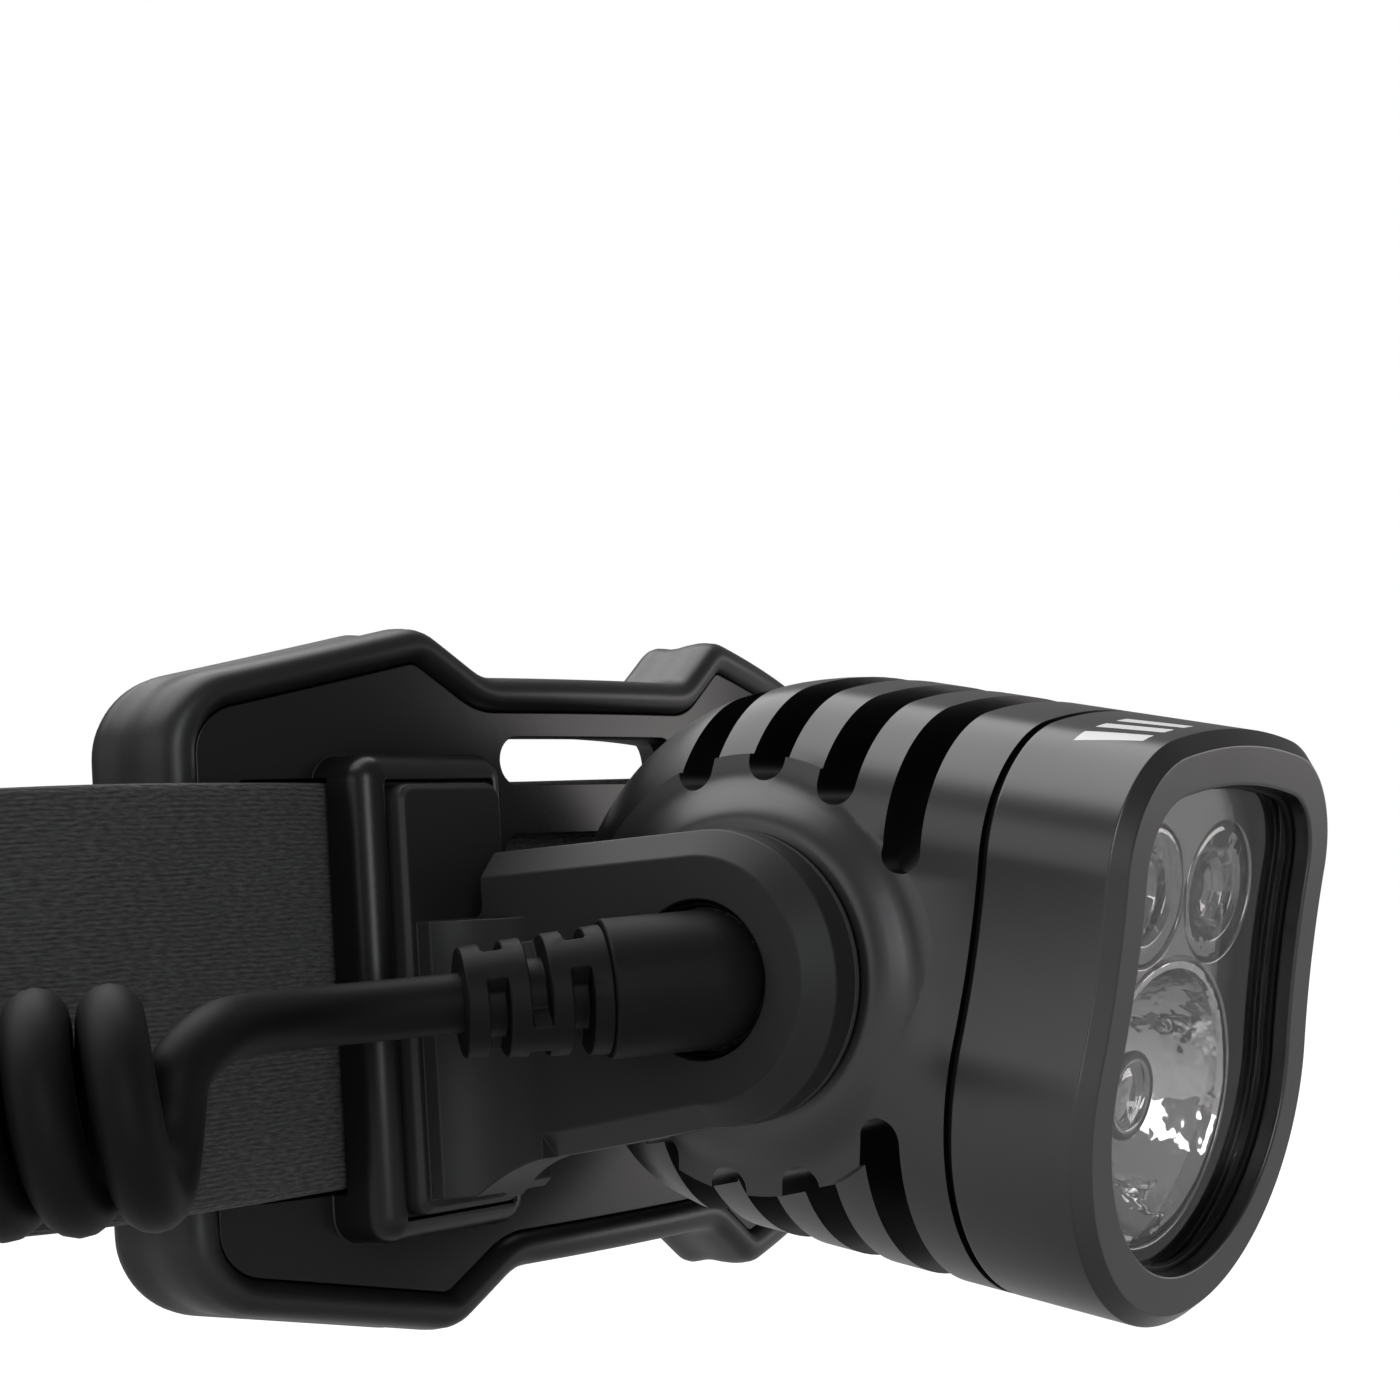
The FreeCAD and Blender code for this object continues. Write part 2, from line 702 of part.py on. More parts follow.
def headband():
    outer = Part.Face(band_wire(0)).extrude(V(0, 0, band_w))
    inner = Part.Face(band_wire(-band_t)).extrude(V(0, 0, band_w))
    return outer.cut(inner)


def band_half():
    return band_straight_x + band_corner_r


def band_sleeve(length, wall, play, edge_play):
    """Flat sleeve round the band, along Y, with the band's outer face at x = 0 and inside at x < 0."""
    z = band_w / 2 + edge_play
    outer = block(-band_t - play - wall, play + wall, -length / 2, length / 2, -z - wall, z + wall)
    rounded = [e for e in outer.Edges if abs(e.Vertexes[0].Y - e.Vertexes[1].Y) > 1]
    outer = outer.makeFillet(wall * 0.8, rounded)
    return outer.cut(block(-band_t - play, play, -length, length, -z, z))


def headband_adjuster():
    body = band_sleeve(adjuster_len, adjuster_wall, adjuster_play, adjuster_play + 0.2)
    for side in (-1, 1):
        y0 = min(side * 2.4, side * 8.6)
        y1 = max(side * 2.4, side * 8.6)
        window = block(0, 10, y0, y1, -band_w / 2 + 2.5, band_w / 2 - 2.5)
        corners = [e for e in window.Edges if abs(e.Vertexes[0].X - e.Vertexes[1].X) > 1]
        body = body.cut(window.makeFillet(1.5, corners))
    body.translate(V(band_half(), band_front_y + band_corner_r + band_side_len / 2, band_mid_z))
    return at_pivot(body)


def cable_clip():
    """Sleeve on the band with a ring for the lead outside it; the ring's axis is at y = 0."""
    body = band_sleeve(clip_len, clip_wall, soft_gap, soft_gap)
    x = -lead_route[1][0] - band_half()
    z = lead_route[1][2] - pivot_z - band_mid_z
    body = body.fuse(rod(clip_ring_r, (x, -clip_len / 2, z), (x, clip_len / 2, z)))
    body = body.cut(rod(clip_bore_r, (x, -clip_len, z), (x, clip_len, z)))
    return body.cut(block(-band_t - soft_gap, soft_gap, -clip_len, clip_len, -band_w / 2, band_w / 2))


def cable_clips():
    clips = []
    back_y = band_front_y + band_corner_r + band_side_len + pivot_y
    for y in clip_side_y:
        clip = cable_clip()
        clip.rotate(V(0, 0, 0), Z_AXIS, 180)
        clip.translate(V(-band_half(), y, band_mid_z + pivot_z))
        clips.append(clip)
    clip = cable_clip()
    clip.rotate(V(0, 0, 0), Z_AXIS, 180)
    clip.translate(V(-band_half(), 0, band_mid_z + pivot_z))
    clip.rotate(V(0, 0, 0), Z_AXIS, -rear_clip_angle)
    clip.translate(V(0, back_y, 0))
    clips.append(clip)
    return clips


# ------------------------------------------------------------------ cable
def cable_stub():
    """Moulded head of the cable: round end in the arm, stem into the lamp, body that points back."""
    start = stub_start()
    axis = cable_axis()
    body = Part.makeSphere(stub_r, start)
    body = body.fuse(Part.makeCylinder(stub_r, stub_len, start, axis))
    body = body.fuse(rod(wire_bore_r - 0.8, (-arm_out_x, 0, 0), (-pocket_half - 2, 0, 0)))
    body = body.fuse(rod(arm_hole_r - 0.25, (-arm_out_x + 0.6, 0, 0), (-bush_out_x + 0.6, 0, 0)))
    return at_pivot(body.removeSplitter())


def strain_relief():
    """Tapered sleeve of four rings: gaps go down to the cable, with bridges that alternate."""
    start = stub_start().add(cable_axis().multiply(stub_len))
    taper = Part.makeCone(stub_r - 0.45, relief_end_r, relief_len, V(0, 0, 0), Z_AXIS)
    ring_len = relief_len / 7
    core_r = cable_d / 2 + 0.55
    for k in range(3):
        z0 = ring_len * (2 * k + 1)
        gap = ring_len * 0.96
        cut = Part.makeCylinder(stub_r + 1, gap, V(0, 0, z0)).cut(Part.makeCylinder(core_r, gap, V(0, 0, z0)))
        width = 1.5 if k % 2 else 0.0
        if width:
            cut = cut.cut(block(-stub_r - 2, stub_r + 2, -width, width, z0 - 1, z0 + gap + 1))
        else:
            cut = cut.cut(block(-1.5, 1.5, -stub_r - 2, stub_r + 2, z0 - 1, z0 + gap + 1))
        taper = taper.cut(cut)
    axis = cable_axis()
    turn = FreeCAD.Rotation(Z_AXIS, axis)
    taper.Placement = FreeCAD.Placement(start, turn)
    return at_pivot(taper)


def cable_tube(name, route, radius):
    """Straight runs joined by tangent arcs, each arc as large as its two runs allow."""
    points = [V(*p) for p in route]
    edges = []
    here = points[0]
    radii = []
    for i in range(1, len(points) - 1):
        back = points[i - 1].sub(points[i])
        ahead = points[i + 1].sub(points[i])
        reach = 0.45 * min(back.Length, ahead.Length)
        half_turn = (math.pi - back.getAngle(ahead)) / 2
        arc_r = reach / math.tan(half_turn)
        radii.append(round(arc_r, 1))
        a = points[i].add(back.normalize().multiply(reach))
        b = points[i].add(ahead.normalize().multiply(reach))
        middle = a.add(b).multiply(0.5)
        towards = points[i].sub(middle)
        rise = arc_r * (1 / math.cos(half_turn) - 1)
        to_corner = towards.Length
        towards.normalize()
        mid_point = middle.add(towards.multiply(to_corner - rise))
        edges.append(Part.makeLine(here, a))
        edges.append(Part.Arc(a, mid_point, b).toShape())
        here = b
    edges.append(Part.makeLine(here, points[-1]))
    path = Part.Wire(edges)
    start_dir = points[1].sub(points[0])
    circle = Part.Wire([Part.makeCircle(radius, points[0], start_dir)])
    tube = path.makePipeShell([circle], True, True)
    share = tube.Volume / (math.pi * radius ** 2 * path.Length)
    print(name, "length", round(path.Length, 1), "radii", radii, "volume share", round(share, 4))
    return tube


def coil_centre():
    return V(coil_end[0] + coil_bend_r, coil_end[1], coil_end[2])


def cable_coil():
    """Outer shape of the tight coil: a fat tube bent round the band's corner."""
    face = Part.Face(Part.Wire([Part.makeCircle(coil_mean_r + cable_d / 2, V(*coil_end), Y_AXIS)]))
    return face.revolve(coil_centre(), Z_AXIS, coil_bend_deg)


def plug_axis():
    return V(*lead_route[-1]).sub(V(*lead_route[-2])).normalize()


def plug_point(distance):
    return V(*lead_route[-1]).add(plug_axis().multiply(distance))


def cable_plug():
    axis = plug_axis()
    body = Part.makeCone(cable_d / 2 + 0.5, plug_r, 5.0, plug_point(0), axis)
    body = body.fuse(Part.makeCylinder(plug_r, plug_len - 5.0, plug_point(5.0), axis))
    body = body.fuse(Part.makeCylinder(plug_journal_r, collar_len, plug_point(plug_len), axis))
    tip = plug_len + collar_len + plug_nose_len
    body = body.fuse(Part.makeCylinder(plug_nose_r, plug_nose_len, plug_point(plug_len + collar_len), axis))
    return body.cut(Part.makeCylinder(socket_r, socket_depth + 1, plug_point(tip - socket_depth), axis))


def plug_contacts():
    floor = plug_point(plug_len + collar_len + plug_nose_len - socket_depth)
    turn = FreeCAD.Placement(floor, FreeCAD.Rotation(Z_AXIS, plug_axis()))
    pins = []
    for k in range(contact_count):
        x, y = polar((0, 0), contact_ring_r, 2 * math.pi * k / contact_count)
        pin = Part.makeCylinder(contact_r, socket_depth - 1.0, V(x, y, 0))
        pin.Placement = turn.multiply(pin.Placement)
        pins.append(pin)
    return pins


def plug_collar():
    axis = plug_axis()
    start = plug_point(plug_len + 0.2)
    body = Part.makeCylinder(collar_r, collar_len - 0.4, start, axis)
    body = body.cut(Part.makeCylinder(plug_journal_r + collar_play, collar_len, start, axis))
    turn = FreeCAD.Rotation(Z_AXIS, axis)
    for k in range(12):
        angle = math.radians(30 * k)
        groove = Part.makeCylinder(0.55, collar_len, V(collar_r * math.cos(angle), collar_r * math.sin(angle), 0))
        groove.Placement = FreeCAD.Placement(start, turn).multiply(groove.Placement)
        body = body.cut(groove)
    return body


os.makedirs("parts", exist_ok=True)
lip_u = face_u - lip_depth
save("heat_sink_housing", place_on_head(heat_sink_housing()))
save("front_bezel", place_on_head(front_bezel()))
save("bezel_seal", place_on_head(frame_ring(0.6, bezel_wall + 1.6, seam_u, seam_u + seam_gap)))
save("window_gasket", place_on_head(
    frame_ring(window_inset, face_chamfer + rim_width + gasket_show, lip_u - gasket_t, lip_u)))
save("window_lens", place_on_head(head_solid(window_inset, lip_u - gasket_t - window_t, lip_u - gasket_t)))
save("optic_carrier", place_on_head(optic_carrier()))
save("spot_reflector", place_on_head(spot_reflector()))
save("flood_lens_right", place_on_head(flood_lens(-flood_x)))
save("flood_lens_left", place_on_head(flood_lens(flood_x)))
save("spot_led", place_on_head(led(0, spot_z, 5.0, 2.0)))
save("flood_leds", place_on_head(led(-flood_x, flood_z, 3.4, 1.4)), place_on_head(led(flood_x, flood_z, 3.4, 1.4)))
save("led_board", place_on_head(led_board()))
save("led_board_screws", *[place_on_head(s) for s in board_screws()])
save("thermal_pad", place_on_head(thermal_pad()))
save("driver_board", place_on_head(driver_board()))
save("power_button", place_on_head(power_button()))
save("button_switch", place_on_head(button_switch()))
save("right_pivot_bush", pivot_bush(-1))
save("left_pivot_bush", pivot_bush(1))
save("right_friction_washer", friction_washer(-1))
save("left_friction_washer", friction_washer(1))
save("right_arm", at_pivot(arm(-1)))
save("left_arm", at_pivot(arm(1)))
save("arm_screws", *arm_screws())
save("forehead_plate", at_pivot(forehead_plate()))
save("forehead_pad", at_pivot(forehead_pad()))
save("headband", at_pivot(headband()))
save("headband_adjuster", headband_adjuster())
save("cable_clips", *cable_clips())
save("cable_stub", cable_stub())
save("strain_relief", strain_relief())
save("cable_lead_in", cable_tube("lead_in", lead_in_route, cable_d / 2))
save("cable_coil", cable_coil())
save("cable_lead", cable_tube("lead", lead_route, cable_d / 2))
save("cable_plug", cable_plug())
save("plug_contacts", *plug_contacts())
save("plug_collar", plug_collar())
print("plug tip", plug_point(plug_len + plug_nose_len + collar_len), "plug axis", plug_axis())
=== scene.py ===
"""Looks of the headlamp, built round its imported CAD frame. Metres, in the frame's own axes:
+X to the wearer's left, +Y towards the wearer, +Z up; the lamp shines along -Y."""
import math

import bmesh
import bpy
import numpy as np
from bpy.props import FloatProperty, FloatVectorProperty, IntProperty, PointerProperty
from mathutils import Matrix, Vector


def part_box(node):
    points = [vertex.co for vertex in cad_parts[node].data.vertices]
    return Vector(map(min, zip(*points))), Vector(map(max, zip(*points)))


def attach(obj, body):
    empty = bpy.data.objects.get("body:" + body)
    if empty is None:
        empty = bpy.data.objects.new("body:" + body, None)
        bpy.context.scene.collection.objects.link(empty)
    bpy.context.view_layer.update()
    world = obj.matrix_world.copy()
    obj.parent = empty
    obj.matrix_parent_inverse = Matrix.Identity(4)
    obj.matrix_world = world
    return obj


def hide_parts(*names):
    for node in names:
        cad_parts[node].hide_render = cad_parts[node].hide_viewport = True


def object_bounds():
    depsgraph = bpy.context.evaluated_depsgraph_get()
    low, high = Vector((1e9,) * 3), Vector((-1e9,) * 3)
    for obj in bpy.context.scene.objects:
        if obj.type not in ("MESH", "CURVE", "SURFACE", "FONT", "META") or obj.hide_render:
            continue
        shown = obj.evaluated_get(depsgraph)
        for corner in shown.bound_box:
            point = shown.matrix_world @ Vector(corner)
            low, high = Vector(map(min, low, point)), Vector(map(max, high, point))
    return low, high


bl_info = {
    "name": "Headlamp",
    "version": (1, 0, 0),
    "blender": (4, 5, 0),
    "location": "View3D > Sidebar > Headlamp",
    "description": "Builds a headlamp's visible pieces, finishes and studio round its CAD frame",
    "category": "Object",
}

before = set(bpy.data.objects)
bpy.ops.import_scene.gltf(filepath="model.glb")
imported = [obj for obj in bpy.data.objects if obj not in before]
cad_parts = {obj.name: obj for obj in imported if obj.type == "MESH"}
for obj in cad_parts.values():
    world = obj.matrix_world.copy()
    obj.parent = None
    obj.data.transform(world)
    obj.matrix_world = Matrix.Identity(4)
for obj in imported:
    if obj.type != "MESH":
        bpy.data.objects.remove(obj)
CAD_BOX = [list(corner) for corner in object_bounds()]

MM = 0.001
PIVOT = np.array([0.0, -38.0, -1.2])      # tilt axis of the lamp, in millimetres
REST_TILT = math.radians(12.2)            # how far the lamp looks down at rest
TURN = 2 * math.pi
BRACKET = "band_and_bracket"
HEAD = "lamp_head"

# the head's outline seen from the front, in millimetres from the tilt axis
CORNER, CORNER_R = (8.9, 14.2), 10.4      # centre and radius of the top left corner
BELLY_Z, BELLY_R = -5.0, 20.0             # height and radius of the round belly
BROAD_R = 60.0                            # brow and waists

# places on the level head, in millimetres ahead of the tilt axis
BEZEL_BACK, BEZEL_FRONT = 21.1, 33.5
WINDOW_BACK, WINDOW_FRONT, LIP = 29.8, 31.3, 31.9
OPTICS_FRONT, BOWL_FOOT = 29.5, 19.8
OPENING, BEZEL_WALL, GASKET_IN = 3.0, 3.8, 5.1    # in from the head's outline

SPOT = (0.0, -6.6)           # centre of the reflector, across and up
FLOOD = (6.1, 11.1)          # centre of the left small lens
FOREHEAD = 169.5             # behind the tilt axis: the upright axis that plate and pad bend round
BAND_Z = 1.05                # height of the band's middle over the tilt axis

# camera and studio
SENSOR = 36.0                                  # width of the camera's sensor, in millimetres
ZOOM = 3352.9 / 1400                           # focal length as a share of the frame's width
CAMERA_TURNS = (-54.81, 3.33, -3.41)           # turn, pitch and roll in degrees
CAMERA_PLACE = (-0.25194, -0.19854, 0.00570)
SURROUND = 0.19              # brightness of the dim surround that lights the lamp
GLOSSY_SHARE = 0.05          # share of the step from that surround to white that reflections get
PAPER = 0.60                 # how much light the floor gives back
FLOOR_GLOW = 1.15            # brightness at which the camera sees it
FLOOR_DROP = 0.055           # how far it lies below the object


# ---------------------------------------------------------------- shader maths
class Value:
    """A socket that holds a number. Arithmetic on it adds the Math node and gives the result's socket."""

    def __init__(self, finish, socket):
        self.finish, self.socket = finish, socket

    def _math(self, operation, first, second=None):
        sockets = {0: first} if second is None else {0: first, 1: second}
        return self.finish.node("ShaderNodeMath", {"operation": operation}, sockets)

    def __add__(self, other):
        return self._math("ADD", self, other)

    __radd__ = __add__

    def __rsub__(self, other):
        return self._math("SUBTRACT", other, self)

    def __mul__(self, other):
        return self._math("MULTIPLY", self, other)

    __rmul__ = __mul__

    def __gt__(self, other):
        return self._math("GREATER_THAN", self, other)

    def __lt__(self, other):
        return self._math("LESS_THAN", self, other)

    def __pow__(self, other):
        return self._math("POWER", self, other)

    def __abs__(self):
        return self._math("ABSOLUTE", self)

    def sine(self):
        return self._math("SINE", self)

    def between(self, low, high):
        """0 below low, 1 above high, and even in between."""
        return self.finish.node("ShaderNodeMapRange", {"clamp": True},
                                {"Value": self, "From Min": low, "From Max": high})


class Finish:
    """A material and its nodes."""

    def __init__(self, name):
        self.material = bpy.data.materials.new(name)
        self.material.use_nodes = True
        self.tree = self.material.node_tree
        self.tree.nodes.clear()
        self.output = self.tree.nodes.new("ShaderNodeOutputMaterial")

    def node(self, kind, settings=None, sockets=None, result=0):
        """Adds a node of that kind and gives its output of that name or number. Sockets are numbers, colours
        or links."""
        made = self.tree.nodes.new(kind)
        for name, value in (settings or {}).items():
            setattr(made, name, value)
        for name, value in (sockets or {}).items():
            socket = made.inputs[name]
            if isinstance(value, Value):
                self.tree.links.new(value.socket, socket)
            elif socket.type == "RGBA" and len(value) == 3:
                socket.default_value = (*value, 1.0)
            else:
                socket.default_value = value
        return Value(self, made.outputs[result]) if made.outputs else made

    def place(self, turn_x=0.0, shift=(0.0, 0.0, 0.0)):
        """The piece's own coordinates, turned about X and shifted."""
        own = self.node("ShaderNodeTexCoord", result="Object")
        return self.node("ShaderNodeMapping", None,
                         {"Vector": own, "Rotation": (turn_x, 0.0, 0.0), "Location": shift})

    def part(self, vector, axis):
        return self.node("ShaderNodeSeparateXYZ", None, {"Vector": vector}, result=axis)

    def noise(self, vector, scale, detail=2.0, rough=0.5):
        return self.node("ShaderNodeTexNoise", None,
                         {"Vector": vector, "Scale": scale, "Detail": detail, "Roughness": rough})

    def mix(self, share, low, high):
        """The colour low where share is 0, and high where it is 1."""
        return self.node("ShaderNodeMix", {"data_type": "RGBA"}, {0: share, 6: low, 7: high}, result=2)

    def bump(self, height, depth, strength=1.0):
        sockets = {"Height": height, "Distance": depth, "Strength": strength}
        return self.node("ShaderNodeBump", None, sockets)

    def surface(self, **sockets):
        """The main shader, on the output. Names are those of its sockets, with _ for a space."""
        named = {name.replace("_", " "): value for name, value in sockets.items()}
        return self.show(self.node("ShaderNodeBsdfPrincipled", None, named))

    def show(self, shader):
        self.tree.links.new(shader.socket, self.output.inputs["Surface"])
        return self.material


def tinted(colour, share):
    return tuple(min(1.0, c * share) for c in colour)


def anodised(name, colour, roughness, mark=False):
    """Bead-blasted, anodised aluminium: fine even grain, slow changes of gloss and a little colour drift."""
    f = Finish(name)
    own = f.place()
    grain = f.noise(own, 5200.0, 2.0, 0.6)
    drift = f.noise(own, 55.0, 3.0)
    body = f.mix(drift, tinted(colour, 0.86), tinted(colour, 1.14))
    gloss = drift * 0.05 + grain * 0.05 + (roughness - 0.05)
    metal = 1.0
    if mark:
        # three slanted bars printed on top: even stripes across a small window of the head's own level axes
        c, s = math.cos(REST_TILT), math.sin(REST_TILT)
        pivot = (0.0, -(PIVOT[1] * c + PIVOT[2] * s) * MM, -(PIVOT[2] * c - PIVOT[1] * s) * MM)
        level = f.place(turn_x=-REST_TILT, shift=pivot)
        x, y, z = (f.part(level, axis) for axis in "XYZ")
        slanted = x + y * 0.3
        stripes = ((slanted + 0.0008) * (TURN / 0.0034)).sine() > -0.1
        printed = stripes * (abs(slanted + 0.0175) < 0.0051) * (abs(y + 0.0275) < 0.0027) * (z > 0.014)
        body = f.mix(printed, body, (0.8, 0.8, 0.8))
        gloss = gloss + printed * 0.15
        metal = 1.0 - printed
    return f.surface(Base_Color=body, Metallic=metal, Roughness=gloss, Normal=f.bump(grain, 0.000004, 0.6))


def moulded(name, colour, roughness, grain_scale=3800.0, depth=0.000010, gloss_level=0.16):
    """Moulded plastic or rubber: spark-eroded grain, faint flow marks and a drift of gloss."""
    f = Finish(name)
    own = f.place()
    grain = f.noise(own, grain_scale, 3.0, 0.65)
    flow = f.noise(own, 38.0, 3.0)
    body = f.mix(flow, tinted(colour, 0.82), tinted(colour, 1.18))
    gloss = grain * 0.10 + flow * 0.06 + (roughness - 0.08)
    return f.surface(Base_Color=body, Roughness=gloss, Specular_IOR_Level=gloss_level,
                     Normal=f.bump(grain, depth, 0.8))


def webbing(name, colour):
    """Woven elastic: short uneven floats along the band, a little slanted, in rows here and there, with
    painted shade between them.
    """
    f = Finish(name)
    flat = f.node("ShaderNodeUVMap", {"uv_map": "weave"})
    wobble = f.noise(flat, 150.0, 2.0)
    along, across = f.part(flat, "X"), f.part(flat, "Y")
    row = across * (TURN / 0.00042) + wobble * 9.0 + (along * 640.0).sine() * 0.7
    rows = row.sine() * 0.5 + 0.5
    sheared = f.node("ShaderNodeCombineXYZ", None,
                     {"X": along * 900.0 + across * 500.0, "Y": across * 4300.0})
    floats = f.noise(sheared, 1.0, 2.0, 0.5).between(0.34, 0.70)
    order = f.noise(flat, 70.0, 1.0).between(0.35, 0.65)
    height = floats * (0.85 - order * 0.35) + rows * floats * order * 0.5 + rows * 0.24
    # painted shade and light: the colour follows the weave's height, darker in the low places between floats
    # and lighter on raised floats
    body = f.mix(height, tinted(colour, 0.55), tinted(colour, 1.75))
    return f.surface(Base_Color=body, Roughness=0.86, Specular_IOR_Level=0.25, Sheen_Weight=0.10,
                     Sheen_Roughness=0.5, Normal=f.bump(height, 0.00011, 0.9))


def bright_metal(name, colour, roughness, scale=900.0, depth=0.000004):
    """Plated metal with ripples of that depth."""
    f = Finish(name)
    ripple = f.noise(f.place(), scale, 2.0)
    return f.surface(Base_Color=f.mix(ripple, tinted(colour, 0.93), colour), Metallic=1.0,
                     Roughness=ripple * 0.06 + roughness, Normal=f.bump(ripple, depth))


def clear(name, tint, least, scale=260.0, depth=0.000006):
    """A clear pane or lens with ripples of that depth: its gloss grows towards its edges."""
    f = Finish(name)
    edge = f.node("ShaderNodeLayerWeight", None, {"Blend": 0.5}, result="Facing") ** 5.0
    ripple = f.noise(f.place(), scale, 2.0)
    through = f.node("ShaderNodeBsdfTransparent", None, {"Color": tint})
    gloss = f.node("ShaderNodeBsdfGlossy", None,
                   {"Color": (1.0, 1.0, 1.0), "Roughness": 0.03, "Normal": f.bump(ripple, depth)})
    return f.show(f.node("ShaderNodeMixShader", None, {0: edge * 0.9 + least, 1: through, 2: gloss}))


def phosphor(name):
    """The yellow coat of an LED under its dome."""
    f = Finish(name)
    grain = f.noise(f.place(), 4000.0, 2.0)
    body = f.mix(grain, (0.50, 0.38, 0.10), (0.72, 0.58, 0.22))
    return f.surface(Base_Color=body, Roughness=0.35, Coat_Weight=0.6, Coat_Roughness=0.05)


def circuit_board(name, colour):
    """Solder mask over copper: faint tracks show as a raised weave of lines."""
    f = Finish(name)
    own = f.place()
    cells = f.node("ShaderNodeTexVoronoi", {"feature": "DISTANCE_TO_EDGE"}, {"Vector": own, "Scale": 420.0})
    track = cells.between(0.02, 0.09)
    body = f.mix(track, tinted(colour, 0.72), colour)
    return f.surface(Base_Color=body, Roughness=0.42, Normal=f.bump(track, 0.00003, 0.5))


# ---------------------------------------------------------------- meshes from grids
def grid_mesh(name, points, around=False, along=False, flat=None):
    """Mesh of a grid of points in metres: rows by columns, four neighbours to a face. around closes the
    columns and along the rows. flat is (row lengths, column lengths), kept as the UV map weave."""
    rows, columns = points.shape[:2]
    number = np.arange(rows * columns).reshape(rows, columns)
    i, j = np.meshgrid(np.arange(rows - (not along)), np.arange(columns - (not around)), indexing="ij")
    i, j = i.ravel(), j.ravel()
    corners = np.stack([np.stack([i, j], 1), np.stack([i + 1, j], 1),
                        np.stack([i + 1, j + 1], 1), np.stack([i, j + 1], 1)], 1)
    faces = number[corners[..., 0] % rows, corners[..., 1] % columns]
    mesh = bpy.data.meshes.new(name)
    mesh.from_pydata(points.reshape(-1, 3).tolist(), [], faces.tolist())
    if flat is not None:
        places = np.stack([flat[0][corners[..., 0].ravel()], flat[1][corners[..., 1].ravel()]], 1)
        mesh.uv_layers.new(name="weave").data.foreach_set("uv", places.astype(np.float32).ravel())
    return mesh


def tidy(mesh, join=1e-6):
    """Turns every face outwards. If join is given, joins nearer points and drops faces with no area first."""
    shape = bmesh.new()
    shape.from_mesh(mesh)
    if join:
        bmesh.ops.remove_doubles(shape, verts=shape.verts, dist=join)
        bmesh.ops.dissolve_degenerate(shape, edges=shape.edges, dist=1e-8)
    bmesh.ops.recalc_face_normals(shape, faces=shape.faces)
    shape.to_mesh(mesh)
    shape.free()
    return mesh


def piece(name, mesh, finish, body, slot, *nodes, crease=32.0):
    """Puts a mesh in the scene as a named piece on its body. Edges sharper than crease degrees stay sharp."""
    mesh.polygons.foreach_set("use_smooth", np.ones(len(mesh.polygons), bool))
    mesh.set_sharp_from_angle(angle=math.radians(crease))
    mesh.materials.clear()
    mesh.materials.append(finish)
    made = bpy.data.objects.new(name, mesh)
    bpy.context.scene.collection.objects.link(made)
    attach(made, body)
    if nodes:
        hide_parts(*nodes)
    return made


def grid_piece(name, points, finish, body, slot, *nodes, along=False, join=1e-6, crease=32.0):
    """A piece from a grid of points whose columns close."""
    mesh = tidy(grid_mesh(name, points, around=True, along=along), join)
    return piece(name, mesh, finish, body, slot, *nodes, crease=crease)


def merged_copy(node, join):
    """A CAD node's mesh again: loose triangles joined, points nearer than join made one, flat faces whole."""
    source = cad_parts[node].data
    co = np.zeros(len(source.vertices) * 3, np.float32)
    source.vertices.foreach_get("co", co)
    co = co.reshape(-1, 3).astype(float)
    source.calc_loop_triangles()
    triangles = np.zeros(len(source.loop_triangles) * 3, np.int32)
    source.loop_triangles.foreach_get("vertices", triangles)
    microns = np.round(co * 1e6).astype(np.int64)
    _, first, back = np.unique(microns, axis=0, return_index=True, return_inverse=True)
    triangles = back.reshape(-1)[triangles].reshape(-1, 3)
    a, b, c = triangles.T
    real = (a != b) & (b != c) & (a != c)
    mesh = bpy.data.meshes.new(node)
    mesh.from_pydata(co[first].tolist(), [], triangles[real].tolist())
    shape = bmesh.new()
    shape.from_mesh(mesh)
    bmesh.ops.remove_doubles(shape, verts=shape.verts, dist=join)
    bmesh.ops.dissolve_degenerate(shape, edges=shape.edges, dist=1e-6)
    bmesh.ops.dissolve_limit(shape, angle_limit=math.radians(0.4), verts=shape.verts, edges=shape.edges)
    shape.to_mesh(mesh)
    shape.free()
    return mesh


def smooth_piece(node, finish, body, slot, edge=0.15, steps=2, crease=30.0, join=2e-6):
    """A CAD node's shape; its edges sharper than crease degrees are rounded by edge millimetres, if not 0."""
    made = piece(node + "_body", merged_copy(node, join), finish, body, slot, node, crease=crease)
    if edge:
        bevel = made.modifiers.new("edge", "BEVEL")
        bevel.width, bevel.segments = edge * MM, steps
        bevel.limit_method, bevel.angle_limit = "ANGLE", math.radians(crease)
        bevel.use_clamp_overlap = False
        bevel.miter_outer = "MITER_ARC"
        bevel.harden_normals = True
    return made


